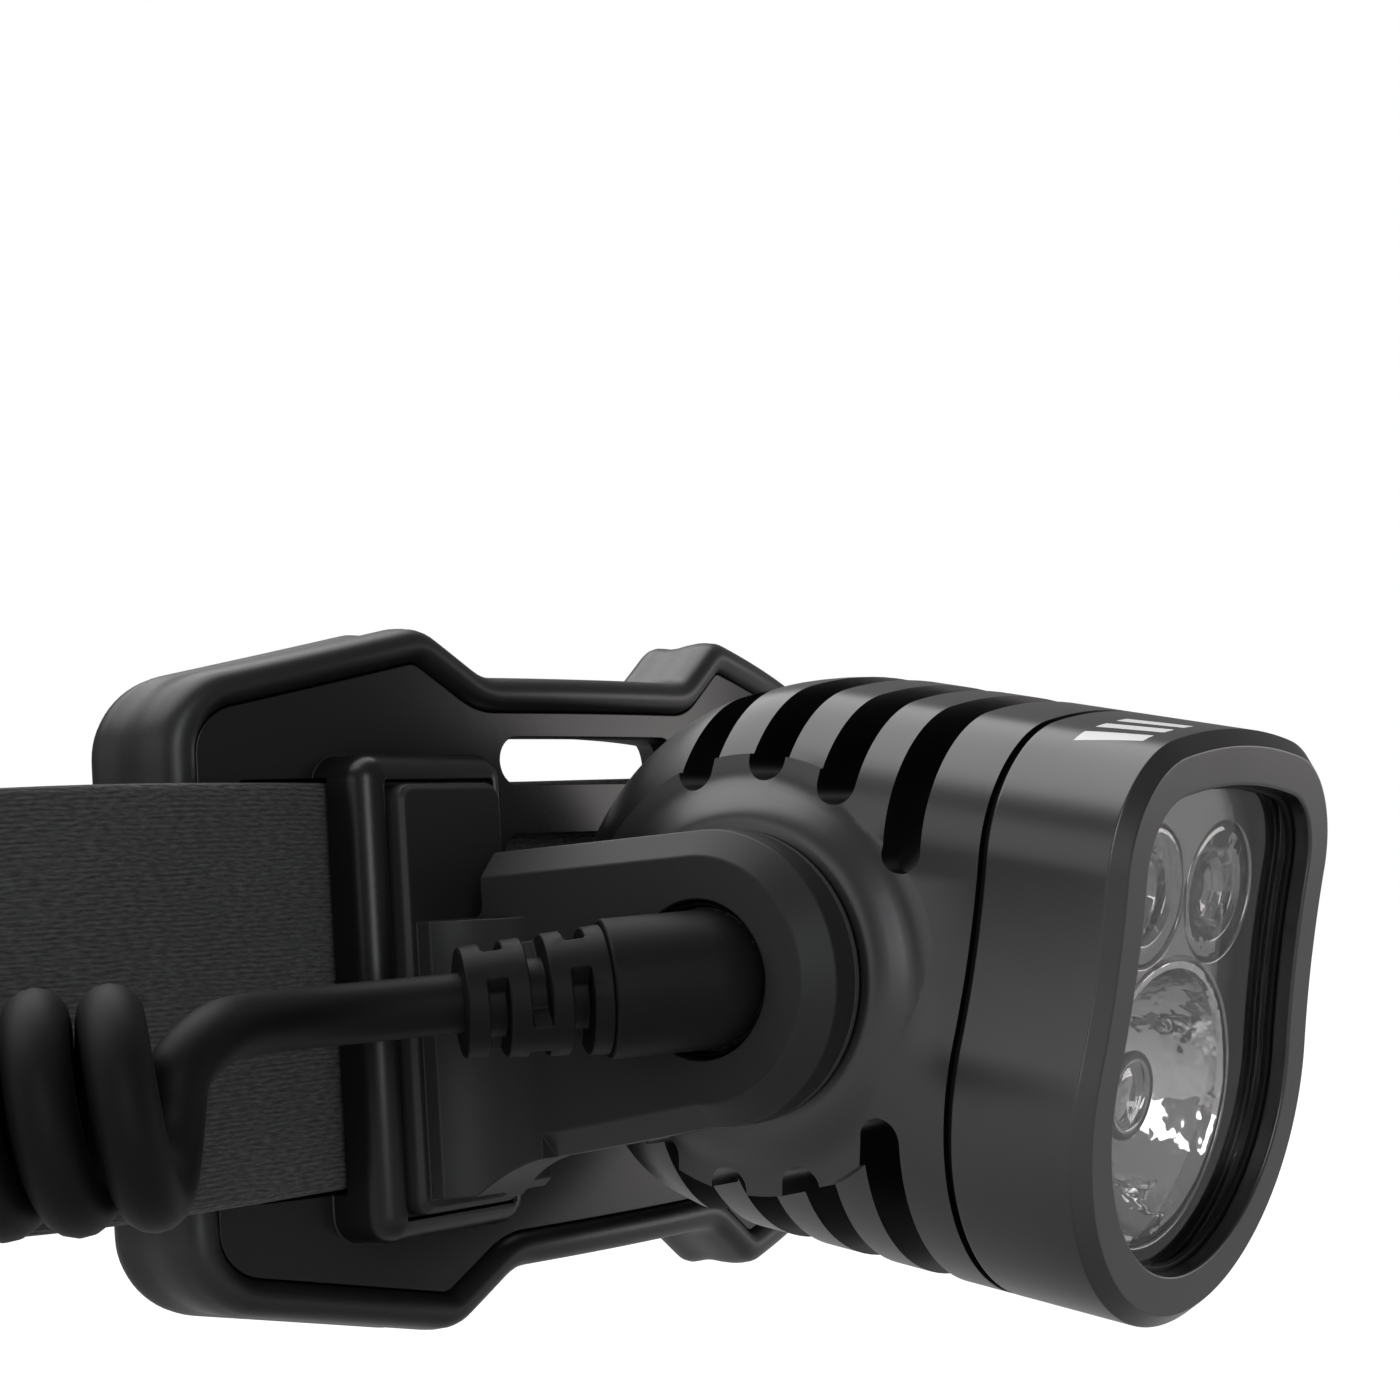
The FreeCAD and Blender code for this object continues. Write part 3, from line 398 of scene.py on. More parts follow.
# ---------------------------------------------------------------- curves and outlines
def rounded_profile(points, radii, steps=5, support=0.12, closed=True):
    """Polygon with each corner turned into an arc of its own radius. The arc starts radius / tan(half the
    corner) before the corner and sweeps round a centre on the corner's middle line. A point is added support
    before and after each arc, so that the flats between stay flat."""
    points = np.asarray(points, float)
    out = []
    count = len(points)
    for k in range(count):
        p = points[k]
        if not closed and k in (0, count - 1):
            out.append(p[None])
            continue
        back, ahead = points[k - 1] - p, points[(k + 1) % count] - p
        room = 0.45 * min(np.linalg.norm(back), np.linalg.norm(ahead))
        back, ahead = back / np.linalg.norm(back), ahead / np.linalg.norm(ahead)
        half = 0.5 * math.acos(np.clip(back @ ahead, -1, 1))
        reach = min(radii[k] / math.tan(half), room)
        radius = reach * math.tan(half)
        middle = (back + ahead) / np.linalg.norm(back + ahead)
        centre = p + middle * radius / math.sin(half)
        start, end = p + back * reach - centre, p + ahead * reach - centre
        turn = math.pi - 2 * half
        share = np.linspace(0, 1, steps)[:, None]
        arc = (np.sin((1 - share) * turn) * start + np.sin(share * turn) * end) / math.sin(turn) + centre
        extra = min(support, room - reach) if room > reach else 0.0
        if extra > 1e-4:
            arc = np.vstack([p + back * (reach + extra), arc, p + ahead * (reach + extra)])
        out.append(arc)
    return np.vstack(out)


def head_arcs(count):
    """The head's outline seen from the front, as tangent arcs: brow, corner, waist, belly and their mirror
    images. A point is centre + (radius + sense * inset) * direction; sense is +1 on the hollow waists and -1
    elsewhere."""
    x, z = CORNER
    rise = z - BELLY_Z
    lift = math.sqrt((BROAD_R - CORNER_R) ** 2 - x ** 2)
    brow_angle = math.atan2(lift, x)
    across = math.hypot(x, rise)
    ux, uz = x / across, rise / across
    # each waist's centre lies at known distances from the belly's centre and the corner's
    to_belly, to_corner = BROAD_R + BELLY_R, BROAD_R + CORNER_R
    s = (to_belly ** 2 - to_corner ** 2 + across ** 2) / (2 * across)
    h = math.sqrt(to_belly ** 2 - s ** 2)
    waist = (ux * s + uz * h, BELLY_Z + uz * s - ux * h)
    low = math.atan2(waist[1] - z, waist[0] - x)
    belly = math.atan2(waist[1] - BELLY_Z, waist[0])
    pi = math.pi
    arcs = [
        ((0.0, z - lift), BROAD_R, -1, pi - brow_angle, brow_angle),
        ((x, z), CORNER_R, -1, brow_angle, low),
        (waist, BROAD_R, 1, low + pi, belly + pi),
        ((0.0, BELLY_Z), BELLY_R, -1, belly, -pi - belly),
        ((-waist[0], waist[1]), BROAD_R, 1, -belly, -low),
        ((-x, z), CORNER_R, -1, pi - low, pi - brow_angle),
    ]
    lengths = np.array([r * abs(b - a) for _, r, _, a, b in arcs])
    shares = np.maximum(6, np.round(count * lengths / lengths.sum())).astype(int)
    angle = np.concatenate([np.linspace(a, b, n, endpoint=False) for (_, _, _, a, b), n in zip(arcs, shares)])
    which = np.repeat(np.arange(len(arcs)), shares)
    centre = np.array([a[0] for a in arcs])[which]
    radius = np.array([a[1] for a in arcs])[which]
    sense = np.array([a[2] for a in arcs])[which]
    return centre, radius, sense, np.stack([np.cos(angle), np.sin(angle)], 1)


def on_head(points):
    """Points (x, ahead of the pivot, up) in millimetres on the level head, turned down by the rest tilt and
    moved to the pivot, in metres."""
    x, y, z = points[..., 0], -points[..., 1], points[..., 2]
    c, s = math.cos(REST_TILT), math.sin(REST_TILT)
    return (np.stack([x, y * c - z * s, y * s + z * c], -1) + PIVOT) * MM


def head_ring(profile, count=260):
    """A profile of (ahead, inset) points carried round the head's outline: rows run along the profile."""
    centre, radius, sense, direction = head_arcs(count)
    ahead, inset = profile[:, 0][:, None], profile[:, 1][:, None]
    reach = radius + sense * inset
    x = centre[:, 0] + reach * direction[:, 0]
    z = centre[:, 1] + reach * direction[:, 1]
    return on_head(np.stack([x, np.broadcast_to(ahead, x.shape), z], -1))


def head_slab(back, front, inset, edge, shares=10, count=260):
    """A closed slab across the head with a rounded edge: on both faces its rings shrink to the middle."""
    centre, radius, sense, direction = head_arcs(count)
    turn = np.linspace(0, math.pi, 9)
    half = (front - back) / 2
    rim = np.stack([(front + back) / 2 + half * np.cos(turn), inset + edge * (1 - np.sin(turn))], 1)
    reach = radius + sense * rim[:, 1][:, None]
    x = centre[:, 0] + reach * direction[:, 0]
    z = centre[:, 1] + reach * direction[:, 1]
    ahead = np.repeat(rim[:, 0][:, None], x.shape[1], 1)
    share = np.linspace(0, 1, shares, endpoint=False)[:, None]
    x = np.vstack([x[0] * share, x, x[-1] * share[::-1]])
    z = np.vstack([2 + (z[0] - 2) * share, z, 2 + (z[-1] - 2) * share[::-1]])
    ahead = np.vstack([np.full_like(x[:shares], front), ahead, np.full_like(x[:shares], back)])
    return on_head(np.stack([x, ahead, z], -1))


def turned(profile, centre, count=96):
    """A (radius, ahead) profile turned round an axis that points ahead from centre (x, z) on the head."""
    angle = np.linspace(0, TURN, count, endpoint=False)
    radius, ahead = profile[:, 0][:, None], profile[:, 1][:, None]
    x = centre[0] + radius * np.cos(angle)
    z = centre[1] + radius * np.sin(angle)
    return on_head(np.stack([x, np.broadcast_to(ahead, x.shape), z], -1))


# ---------------------------------------------------------------- settings
class HeadlampColours(bpy.types.PropertyGroup):
    metal: FloatVectorProperty(name="Aluminium", description="Anodised lamp head", subtype="COLOR", size=3,
                               min=0, max=1, default=(0.086, 0.085, 0.0855))
    plastic: FloatVectorProperty(name="Plastic", description="Bracket arms", subtype="COLOR", size=3,
                                 min=0, max=1, default=(0.019, 0.019, 0.0193))
    plate: FloatVectorProperty(name="Plate", description="Forehead plate", subtype="COLOR", size=3,
                               min=0, max=1, default=(0.0050, 0.0046, 0.0047))
    rubber: FloatVectorProperty(name="Rubber", description="Pad and mouldings", subtype="COLOR", size=3,
                                min=0, max=1, default=(0.0055, 0.0055, 0.0058))
    cable: FloatVectorProperty(name="Cable", description="Jacket of the cable", subtype="COLOR", size=3,
                               min=0, max=1, default=(0.0032, 0.0032, 0.0033))
    band: FloatVectorProperty(name="Webbing", description="Woven headband", subtype="COLOR", size=3,
                              min=0, max=1, default=(0.054, 0.054, 0.055))


class HeadlampSizes(bpy.types.PropertyGroup):
    chamfer: FloatProperty(name="Bezel chamfer", description="Bevel of the bezel's front edge",
                           default=1.25 * MM, min=0, unit="LENGTH", subtype="DISTANCE")
    rim: FloatProperty(name="Bezel rim", description="Width of the bezel's flat rim",
                       default=3.35 * MM, min=0, unit="LENGTH", subtype="DISTANCE")
    edge: FloatProperty(name="Arm rounding", description="Rounding of the bracket arms' edges",
                        default=0.16 * MM, min=0, unit="LENGTH", subtype="DISTANCE")
    cable: FloatProperty(name="Cable diameter", description="Outside of the cable's jacket", default=4.9 * MM,
                         min=0, unit="LENGTH", subtype="DISTANCE")
    turns: FloatProperty(name="Coil turns", description="Turns of the coiled cable", default=12.125, min=1)
    band_width: FloatProperty(name="Band width", description="Width of the headband",
                              default=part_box("headband")[1].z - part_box("headband")[0].z, min=0,
                              unit="LENGTH", subtype="DISTANCE")
    facets: IntProperty(name="Round steps", description="Points round a turned piece", default=96, min=12)


def colours():
    return bpy.context.scene.headlamp_colours


def sizes():
    return bpy.context.scene.headlamp_sizes


# ---------------------------------------------------------------- lamp head
class HEADLAMP_OT_head(bpy.types.Operator):
    """Milled heat sink, front bezel and the seal between them"""
    bl_idname = "headlamp.head"
    bl_label = "Lamp head"

    def execute(self, context):
        metal = tuple(colours().metal)
        smooth_piece("heat_sink_housing", anodised("anodised_housing", metal, 0.31), HEAD, "anodised",
                     edge=0.0, crease=48.0)
        chamfer, rim = sizes().chamfer / MM, sizes().rim / MM
        section = rounded_profile(
            [(BEZEL_BACK, 0.0), (BEZEL_FRONT - chamfer, 0.0), (BEZEL_FRONT, chamfer),
             (BEZEL_FRONT, chamfer + rim), (LIP, chamfer + rim), (LIP, OPENING), (WINDOW_BACK, OPENING),
             (WINDOW_BACK, BEZEL_WALL), (BEZEL_BACK, BEZEL_WALL)],
            [0.22, 0.22, 0.2, 0.25, 0.1, 0.05, 0.05, 0.05, 0.1])
        grid_piece("front_bezel_body", head_ring(section, 420),
                   anodised("anodised_bezel", tinted(metal, 1.03), 0.30, mark=True), HEAD, "bezel_anodised",
                   "front_bezel", along=True)
        seal = rounded_profile([(20.5, 0.62), (BEZEL_BACK, 0.62), (BEZEL_BACK, 3.75), (20.5, 3.75)],
                               [0.1] * 4, support=0.05)
        grid_piece("bezel_seal_ring", head_ring(seal), moulded("seal_rubber", tuple(colours().rubber), 0.6),
                   HEAD, "moulded_rubber", "bezel_seal", along=True)
        return {"FINISHED"}


class HEADLAMP_OT_optics(bpy.types.Operator):
    """Window, gasket, reflector, lenses and LEDs behind the bezel"""
    bl_idname = "headlamp.optics"
    bl_label = "Optics"

    def execute(self, context):
        steps = sizes().facets
        grid_piece("window_pane", head_slab(WINDOW_BACK, WINDOW_FRONT, OPENING + 0.02, 0.25),
                   clear("window_clear", (0.97, 0.97, 0.97), 0.03), HEAD, "window_clear", "window_lens")
        gasket = rounded_profile(
            [(WINDOW_FRONT, OPENING), (LIP, OPENING), (LIP, GASKET_IN), (WINDOW_FRONT, GASKET_IN)],
            [0.1, 0.1, 0.2, 0.1], support=0.05)
        grid_piece("window_gasket_ring", head_ring(gasket),
                   moulded("gasket_rubber", tinted(colours().rubber, 0.7), 0.5), HEAD, "moulded_rubber",
                   "window_gasket", along=True)
        carrier = bright_metal("carrier_plating", (0.30, 0.295, 0.295), 0.14, 300.0, 0.00004)
        smooth_piece("optic_carrier", carrier, HEAD, "carrier_grey", edge=0.3, steps=3)
        # bowl: the radius grows with the square root of the depth, in and out, with a rolled rim
        hole, flare, thick = 3.4, 8.7, 0.8
        depth = np.linspace(0, 1, 40)
        wall = np.stack([hole + flare * np.sqrt(depth), BOWL_FOOT + (OPTICS_FRONT - BOWL_FOOT) * depth], 1)
        inside = wall[::-1] - (thick, 0.0)
        rim = np.array([(12.1, OPTICS_FRONT - 0.1), (12.0, OPTICS_FRONT), (11.7, OPTICS_FRONT + 0.05),
                        (11.4, OPTICS_FRONT)])
        grid_piece("reflector_bowl", turned(np.vstack([wall[:-1], rim, inside[1:]]), SPOT, steps),
                   bright_metal("reflector_plating", (0.62, 0.61, 0.61), 0.04, 330.0, 0.00030), HEAD,
                   "reflector_metal", "spot_reflector", along=True)
        # collimator in the bowl: a clear stem with a shallow dish at its front, inside a raised ring
        stem = np.array([(0.0, 26.6), (1.4, 26.55), (2.3, 26.4), (2.55, 26.2), (2.65, 26.75), (3.0, 26.95),
                         (3.4, 26.85), (3.6, 26.4), (3.5, 24.2), (3.1, 22.0), (2.7, 20.4), (2.5, 20.2)])
        grid_piece("collimator_lens", turned(stem, SPOT, steps),
                   clear("collimator_clear", (0.62, 0.61, 0.61), 0.24, 500.0, 0.00004), HEAD, "lens_clear",
                   join=2e-6, crease=50)
        turn = np.linspace(0, TURN, 12, endpoint=False)
        ring = np.stack([3.45 + 0.42 * np.cos(turn), 26.55 + 0.42 * np.sin(turn)], 1)
        grid_piece("collimator_ring", turned(ring, SPOT, steps),
                   moulded("ring_plastic", (0.008, 0.008, 0.009), 0.25, gloss_level=0.3), HEAD,
                   "moulded_rubber", along=True)
        lens = np.array([(0.0, 27.3), (1.5, 27.35), (2.8, 27.6), (3.3, 28.2), (3.6, 29.0), (4.2, 29.35),
                         (5.3, 29.48), (5.75, 29.4), (5.85, 29.1), (5.8, 28.5), (5.2, 26.8), (4.3, 24.6),
                         (3.4, 22.6), (2.6, 21.3), (2.0, 21.25), (0.0, 21.2)])
        lens = rounded_profile(lens, [0.3] * len(lens), steps=4, support=0.05, closed=False)
        for side, word in ((-1, "right"), (1, "left")):
            glass = clear("lens_clear_" + word, (0.86, 0.845, 0.845), 0.22, 330.0, 0.00010)
            name = "flood_lens_" + word
            grid_piece(name + "_body", turned(lens, (side * FLOOD[0], FLOOD[1]), steps), glass, HEAD,
                       "lens_clear", name, join=2e-6, crease=50)
        glow = phosphor("led_phosphor")
        smooth_piece("spot_led", glow, HEAD, "led_phosphor", edge=0.08)
        smooth_piece("flood_leds", glow, HEAD, "led_phosphor", edge=0.08)
        return {"FINISHED"}


class HEADLAMP_OT_inner(bpy.types.Operator):
    """Boards, fasteners and joint parts that the CAD already has right"""
    bl_idname = "headlamp.inner"
    bl_label = "Inner parts"

    def execute(self, context):
        steel = bright_metal("screw_steel", (0.42, 0.41, 0.40), 0.28)
        finishes = {
            "led_board": circuit_board("led_board_mask", (0.62, 0.62, 0.60)),
            "led_board_screws": steel,
            "thermal_pad": moulded("gap_pad", (0.25, 0.27, 0.30), 0.8),
            "driver_board": circuit_board("driver_board_mask", (0.02, 0.11, 0.04)),
            "button_switch": moulded("switch_housing", (0.03, 0.03, 0.03), 0.4),
            "arm_screws": steel,
        }
        for node, finish in finishes.items():
            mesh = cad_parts[node].data
            mesh.materials.clear()
            mesh.materials.append(finish)
        polymer = moulded("bush_polymer", (0.055, 0.055, 0.052), 0.45)
        for side in ("right", "left"):
            smooth_piece(side + "_pivot_bush", polymer, BRACKET, "bush_polymer", edge=0.15)
            smooth_piece(side + "_friction_washer", polymer, BRACKET, "bush_polymer", edge=0.08)
        return {"FINISHED"}


class HEADLAMP_OT_bracket(bpy.types.Operator):
    """Arms of the bracket with their power button, and the plate on the forehead"""
    bl_idname = "headlamp.bracket"
    bl_label = "Bracket"

    def execute(self, context):
        arm = moulded("arm_plastic", tuple(colours().plastic), 0.46, 4200.0, 0.000010, 0.26)
        for side in ("right", "left"):
            smooth_piece(side + "_arm", arm, BRACKET, "arm_plastic", edge=sizes().edge / MM, steps=3,
                         join=2.5e-5)
        plate = moulded("plate_plastic", tuple(colours().plate), 0.30, 2600.0, 0.000004, 0.38)
        smooth_piece("forehead_plate", plate, BRACKET, "plate_plastic", edge=0.14, steps=2)
        # button: a cap with a raised ring and a dished middle
        outer, inner, r = 26.4, 19.3, 6.2
        section = np.array([
            (0.0, outer - 0.55), (2.2, outer - 0.5), (3.0, outer - 0.42), (3.15, outer - 0.12),
            (3.75, outer - 0.12), (3.9, outer - 0.42), (4.9, outer - 0.12), (r - 0.7, outer),
            (r - 0.12, outer - 0.5), (r, outer - 1.2), (r, inner + 0.2), (r - 0.2, inner), (0.0, inner)])
        section = rounded_profile(section, [0.12] * len(section), steps=4, support=0.05, closed=False)
        angle = np.linspace(0, TURN, sizes().facets, endpoint=False)
        radius, along = section[:, 0][:, None], section[:, 1][:, None]
        y, z = radius * np.cos(angle), radius * np.sin(angle)
        grid_piece("power_button_cap", on_head(np.stack([np.broadcast_to(along, y.shape), -y, z], -1)),
                   moulded("button_rubber", tinted(colours().rubber, 1.6), 0.6), "button", "button_rubber",
                   "power_button", join=2e-6)
        return {"FINISHED"}


# ---------------------------------------------------------------- pad and band
def bent(x, y0):
    """Distance behind the pivot of the bent plate's surface that crosses the middle at y0: a circle round the
    forehead's upright axis."""
    return FOREHEAD - np.sqrt((FOREHEAD - y0) ** 2 - x ** 2)


def pad_outline(count):
    """The pad's rounded outline seen from the front, evenly spaced, with its outward normals."""
    half = [((15.3, 27.9), 5.0), ((22.8, 32.5), 5.0), ((49.0, 27.4), 7.5), ((49.0, -25.2), 7.5),
            ((22.8, -30.1), 5.0), ((15.3, -25.5), 5.0)]
    points = [p for p, _ in half] + [(-p[0], p[1]) for p, _ in reversed(half)]
    radii = [r for _, r in half] + [r for _, r in reversed(half)]
    run = rounded_profile(points, radii, steps=14, support=0.0)
    return evenly(run, count)


def evenly(run, count):
    """A closed run of points, evenly spaced from its highest middle point, and its outward normals."""
    closed = np.vstack([run, run[:1]])
    along = np.concatenate([[0], np.cumsum(np.linalg.norm(np.diff(closed, axis=0), axis=1))])
    at = np.linspace(0, along[-1], count, endpoint=False)
    even = np.stack([np.interp(at, along, closed[:, k]) for k in (0, 1)], 1)
    start = int(np.argmin(np.abs(even[:, 0]) - 0.5 * (even[:, 1] > 0)))
    even = np.roll(even, -start, 0)
    ahead = np.roll(even, -1, 0) - np.roll(even, 1, 0)
    normal = np.stack([ahead[:, 1], -ahead[:, 0]], 1) / np.linalg.norm(ahead, axis=1)[:, None]
    if np.sum((even - even.mean(0)) * normal) < 0:
        normal = -normal
    return even, normal


class HEADLAMP_OT_pad(bpy.types.Operator):
    """Soft pad behind the plate: rounded rim, sides that pull in, air slit and flat channel for the band"""
    bl_idname = "headlamp.pad"
    bl_label = "Forehead pad"

    def execute(self, context):
        count = 420
        outline, normal = pad_outline(count)
        # slit: a stadium round (0, 20.15), met ray by ray from the outline's own points
        middle = np.array([0.0, 20.15])
        half, radius = 21.2 - 2.75, 2.75
        away = outline - middle
        angle = np.arctan2(away[:, 1], away[:, 0] * 0.25)
        slit = middle + np.stack([np.clip(np.cos(angle) * 1.6, -1, 1) * half + radius * np.cos(angle),
                                  radius * np.sin(angle)], 1)
        turn = np.linspace(0, math.pi, 13)
        rim = np.stack([1.68 + 1.55 * np.cos(turn), 30.1 - 1.6 * np.sin(turn)], 1)     # (inset, place)
        rows = [(3.3, 31.9), (3.26, 31.0)] + rim.tolist() + [
            (0.04, 30.6), (0.0, 31.4), (0.10, 32.6), (0.28, 33.8), (0.30, 34.8), (0.14, 35.8), (0.06, 36.4),
            (0.18, 37.0), (0.5, 37.5), (1.0, 37.8), (1.7, 37.96), (2.8, 38.0), (4.0, 38.0)]
        inset = np.array([r[0] for r in rows])[:, None, None]
        shape = outline - normal * inset
        place = np.repeat(np.array([r[1] for r in rows])[:, None], count, 1)
        # then across the back to the slit, down its wall and back out under the plate
        share = np.linspace(1, 0, 14)[1:, None, None]
        back = slit + (shape[-1] - slit) * share
        floor = slit + (shape[0] - slit) * np.linspace(0, 1, 16)[:, None, None]
        flat = np.vstack([shape, back, floor[:-1]])
        level = np.vstack([place, np.full((13, count), 38.0), np.full((15, count), 31.95)])
        x, z = flat[..., 0], flat[..., 1]
        y = bent(x, level)
        under = np.zeros(len(flat), bool)
        under[-15:] = True
        channel = (np.abs(z - BAND_Z) < 18.2) & (np.abs(x) < 42.2) & under[:, None]
        y = np.where(channel, np.maximum(y, 34.95), y)
        points = (np.stack([x, y, z], -1) + PIVOT) * MM
        rubber = moulded("pad_rubber", tinted(colours().rubber, 1.3), 0.40, 2200.0, 0.000010, 0.5)
        pad = grid_piece("forehead_pad_body", points, rubber, BRACKET, "pad_rubber", "forehead_pad",
                         along=True, crease=60)
        return {"FINISHED"}


class HEADLAMP_OT_band(bpy.types.Operator):
    """Woven headband, its adjuster and the clips that hold the lead"""
    bl_idname = "headlamp.band"
    bl_label = "Headband"

    def execute(self, context):
        # plan: the heading stays on the straights and turns evenly on the arcs; the place is its running sum
        front, bend_r, straight, back_r = 58.0, 32.0, 63.0, 90.0
        bend = bend_r * math.pi / 2
        runs = np.array([front, bend, straight, back_r * math.pi, straight, bend, front])
        turns = np.array([0, math.pi / 2, 0, math.pi, 0, math.pi / 2, 0])
        ends = np.concatenate([[0], np.cumsum(runs)])
        headings = np.concatenate([[0], np.cumsum(turns)])
        fine = np.linspace(0, ends[-1], 12001)
        mid = np.interp((fine[:-1] + fine[1:]) / 2, ends, headings)
        step = np.diff(fine)
        plan = np.stack([np.concatenate([[0], np.cumsum(np.cos(mid) * step)]),
                         np.concatenate([[0], np.cumsum(np.sin(mid) * step)])], 1) + (0.0, 33.7)
        s = np.linspace(0, ends[-1], 900, endpoint=False)
        heading = np.interp(s, ends, headings)
        centre = np.stack([np.interp(s, fine, plan[:, 0]), np.interp(s, fine, plan[:, 1])], 1)
        outward = np.stack([np.sin(heading), -np.cos(heading)], 1)
        # section: flat faces 1.3 thick that swell to 1.4 at the selvedges, with round edges
        half_w, t = sizes().band_width / MM / 2, 0.70
        face = np.linspace(-half_w + t, half_w - t, 30)
        across = np.concatenate([face, np.linspace(half_w - t, -half_w + t, 30)])
        side = np.concatenate([np.ones(30), -np.ones(30)])
        swell = t - 0.07 * np.clip((half_w - 2.4 - np.abs(across)) / 1.2, 0, 1)
        arc = np.linspace(math.pi / 2, -math.pi / 2, 9)[1:-1]
        v = np.concatenate([across[:30], half_w - t + t * np.cos(arc),
                            across[30:], -half_w + t - t * np.cos(arc)])
        h = np.concatenate([(side * swell)[:30], t * np.sin(arc), (side * swell)[30:], -t * np.sin(arc)])
        pull = 0.12 * np.sin(s * TURN / ends[-1] * 9)[:, None] * (np.abs(v) / half_w) ** 4
        x = centre[:, 0][:, None] + outward[:, 0][:, None] * h
        y = centre[:, 1][:, None] + outward[:, 1][:, None] * h
        z = BAND_Z + v + pull * np.sign(v)
        points = (np.stack([x, y, z], -1) + PIVOT) * MM
        round_it = np.concatenate([[0], np.cumsum(np.hypot(np.diff(v), np.diff(h)))])
        lengths = (np.append(s, ends[-1]) * MM, np.append(round_it, round_it[-1] + 0.3) * MM)
        mesh = tidy(grid_mesh("headband_webbing", points, around=True, along=True, flat=lengths), join=None)
        band = piece("headband_webbing", mesh, webbing("webbing", tuple(colours().band)), BRACKET, "webbing",
                     "headband", crease=60)
        fitting = moulded("fitting_plastic", tinted(colours().plastic, 0.8), 0.42)
        smooth_piece("headband_adjuster", fitting, "adjuster", "fitting_plastic", edge=0.3, steps=3)
        smooth_piece("cable_clips", fitting, BRACKET, "fitting_plastic", edge=0.2)
        return {"FINISHED"}


# ---------------------------------------------------------------- cable
# control points in millimetres, before and after the coil
LEAD_IN = [(-42.0, -25.1, -1.8), (-46.9, -20.7, -2.0), (-54.0, -18.6, -2.1), (-62.0, -20.4, -2.1),
           (-69.4, -24.2, -2.2), (-75.6, -26.6, -2.4)]
LEAD = [(-95.35, 28.5, -6.9), (-95.2, 41.0, -6.7), (-95.5, 56.0, -7.1), (-95.3, 71.0, -6.8),
        (-95.3, 85.0, -6.6), (-94.8, 99.0, -6.9), (-92.4, 113.0, -6.8), (-87.7, 128.3, -6.7),
        (-80.7, 141.6, -6.8), (-72.4, 152.9, -6.9), (-64.9, 161.6, -6.9)]


def coil_points(turns, per_turn=14):
    """Helix on a bent axis: the axis runs round its centre from 223 to 180 degrees while the wire goes round
    it. Control points lie a little outside, because the spline cuts inside them."""
    (x0, y0), bend_r, z0, helix_r = (-16.8, 28.5), 85.0, -6.9, 6.45
    count = int(turns * per_turn) + 1
    share = np.linspace(0, 1, count)
    along = np.radians(223.0 - 43.0 * share)
    phase = np.radians(45.0 - 360.0 * turns * share)
    reach = helix_r / (0.75 + 0.25 * math.cos(TURN / per_turn))
    inward = -np.stack([np.cos(along), np.sin(along), np.zeros(count)], 1)
    axis = np.stack([x0 + bend_r * np.cos(along), y0 + bend_r * np.sin(along), np.full(count, z0)], 1)
    return axis + reach * (inward * np.cos(phase)[:, None] + np.array([0, 0, 1.0]) * np.sin(phase)[:, None])


class HEADLAMP_OT_cable(bpy.types.Operator):
    """Cable with its coil, moulded head, strain relief and plug"""
    bl_idname = "headlamp.cable"
    bl_label = "Cable"

    def execute(self, context):
        coil = coil_points(sizes().turns)
        points = np.vstack([np.array(LEAD_IN[:-1]), coil[1:-1], np.array(LEAD[1:])]) * MM
        curve = bpy.data.curves.new("lamp_cable", "CURVE")
        curve.dimensions = "3D"
        curve.bevel_depth = sizes().cable / 2
        curve.bevel_resolution = 6
        curve.resolution_u = curve.render_resolution_u = 5
        curve.use_fill_caps = True
        spline = curve.splines.new("NURBS")
        spline.points.add(len(points) - 1)
        weighted = np.hstack([points, np.ones((len(points), 1))])
        spline.points.foreach_set("co", weighted.astype(np.float32).ravel())
        spline.order_u = 3
        spline.use_endpoint_u = True
        cable = bpy.data.objects.new("lamp_cable", curve)
        bpy.context.scene.collection.objects.link(cable)
        curve.materials.append(moulded("cable_jacket", tuple(colours().cable), 0.56, 3000.0, 0.000006, 0.16))
        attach(cable, BRACKET)
        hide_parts("cable_lead_in", "cable_coil", "cable_lead")
        rubber = moulded("cable_moulding", tinted(colours().rubber, 0.8), 0.54, 3000.0, 0.000008, 0.16)
        smooth_piece("cable_stub", rubber, BRACKET, "moulded_rubber", edge=0.3, steps=3)
        relief = smooth_piece("strain_relief", rubber, BRACKET, "moulded_rubber", edge=0.2, steps=3)
        plug = smooth_piece("cable_plug", rubber, BRACKET, "moulded_rubber", edge=0.3, steps=3)
        gold = bright_metal("contact_gold", (0.78, 0.56, 0.22), 0.2)
        contacts = smooth_piece("plug_contacts", gold, BRACKET, "contact_gold", edge=0.1)
        ring = moulded("collar_plastic", tinted(colours().plastic, 0.9), 0.4)
        collar = smooth_piece("plug_collar", ring, "collar", "fitting_plastic", edge=0.15)
        return {"FINISHED"}


# ---------------------------------------------------------------- studio
def soft_lamp(name, place, target, width, height, glow, colour=(1.0, 1.0, 1.0)):
    """Rectangular lamp whose face glows that brightly: its power is pi times glow times its area."""
    light = bpy.data.lights.new(name, "AREA")
    light.shape, light.size, light.size_y = "RECTANGLE", width, height
    light.energy, light.color = math.pi * glow * width * height, colour
    lamp = bpy.data.objects.new(name, light)
    lamp.location = place
    lamp.rotation_euler = (Vector(target) - Vector(place)).to_track_quat("-Z", "Y").to_euler()
    bpy.context.scene.collection.objects.link(lamp)


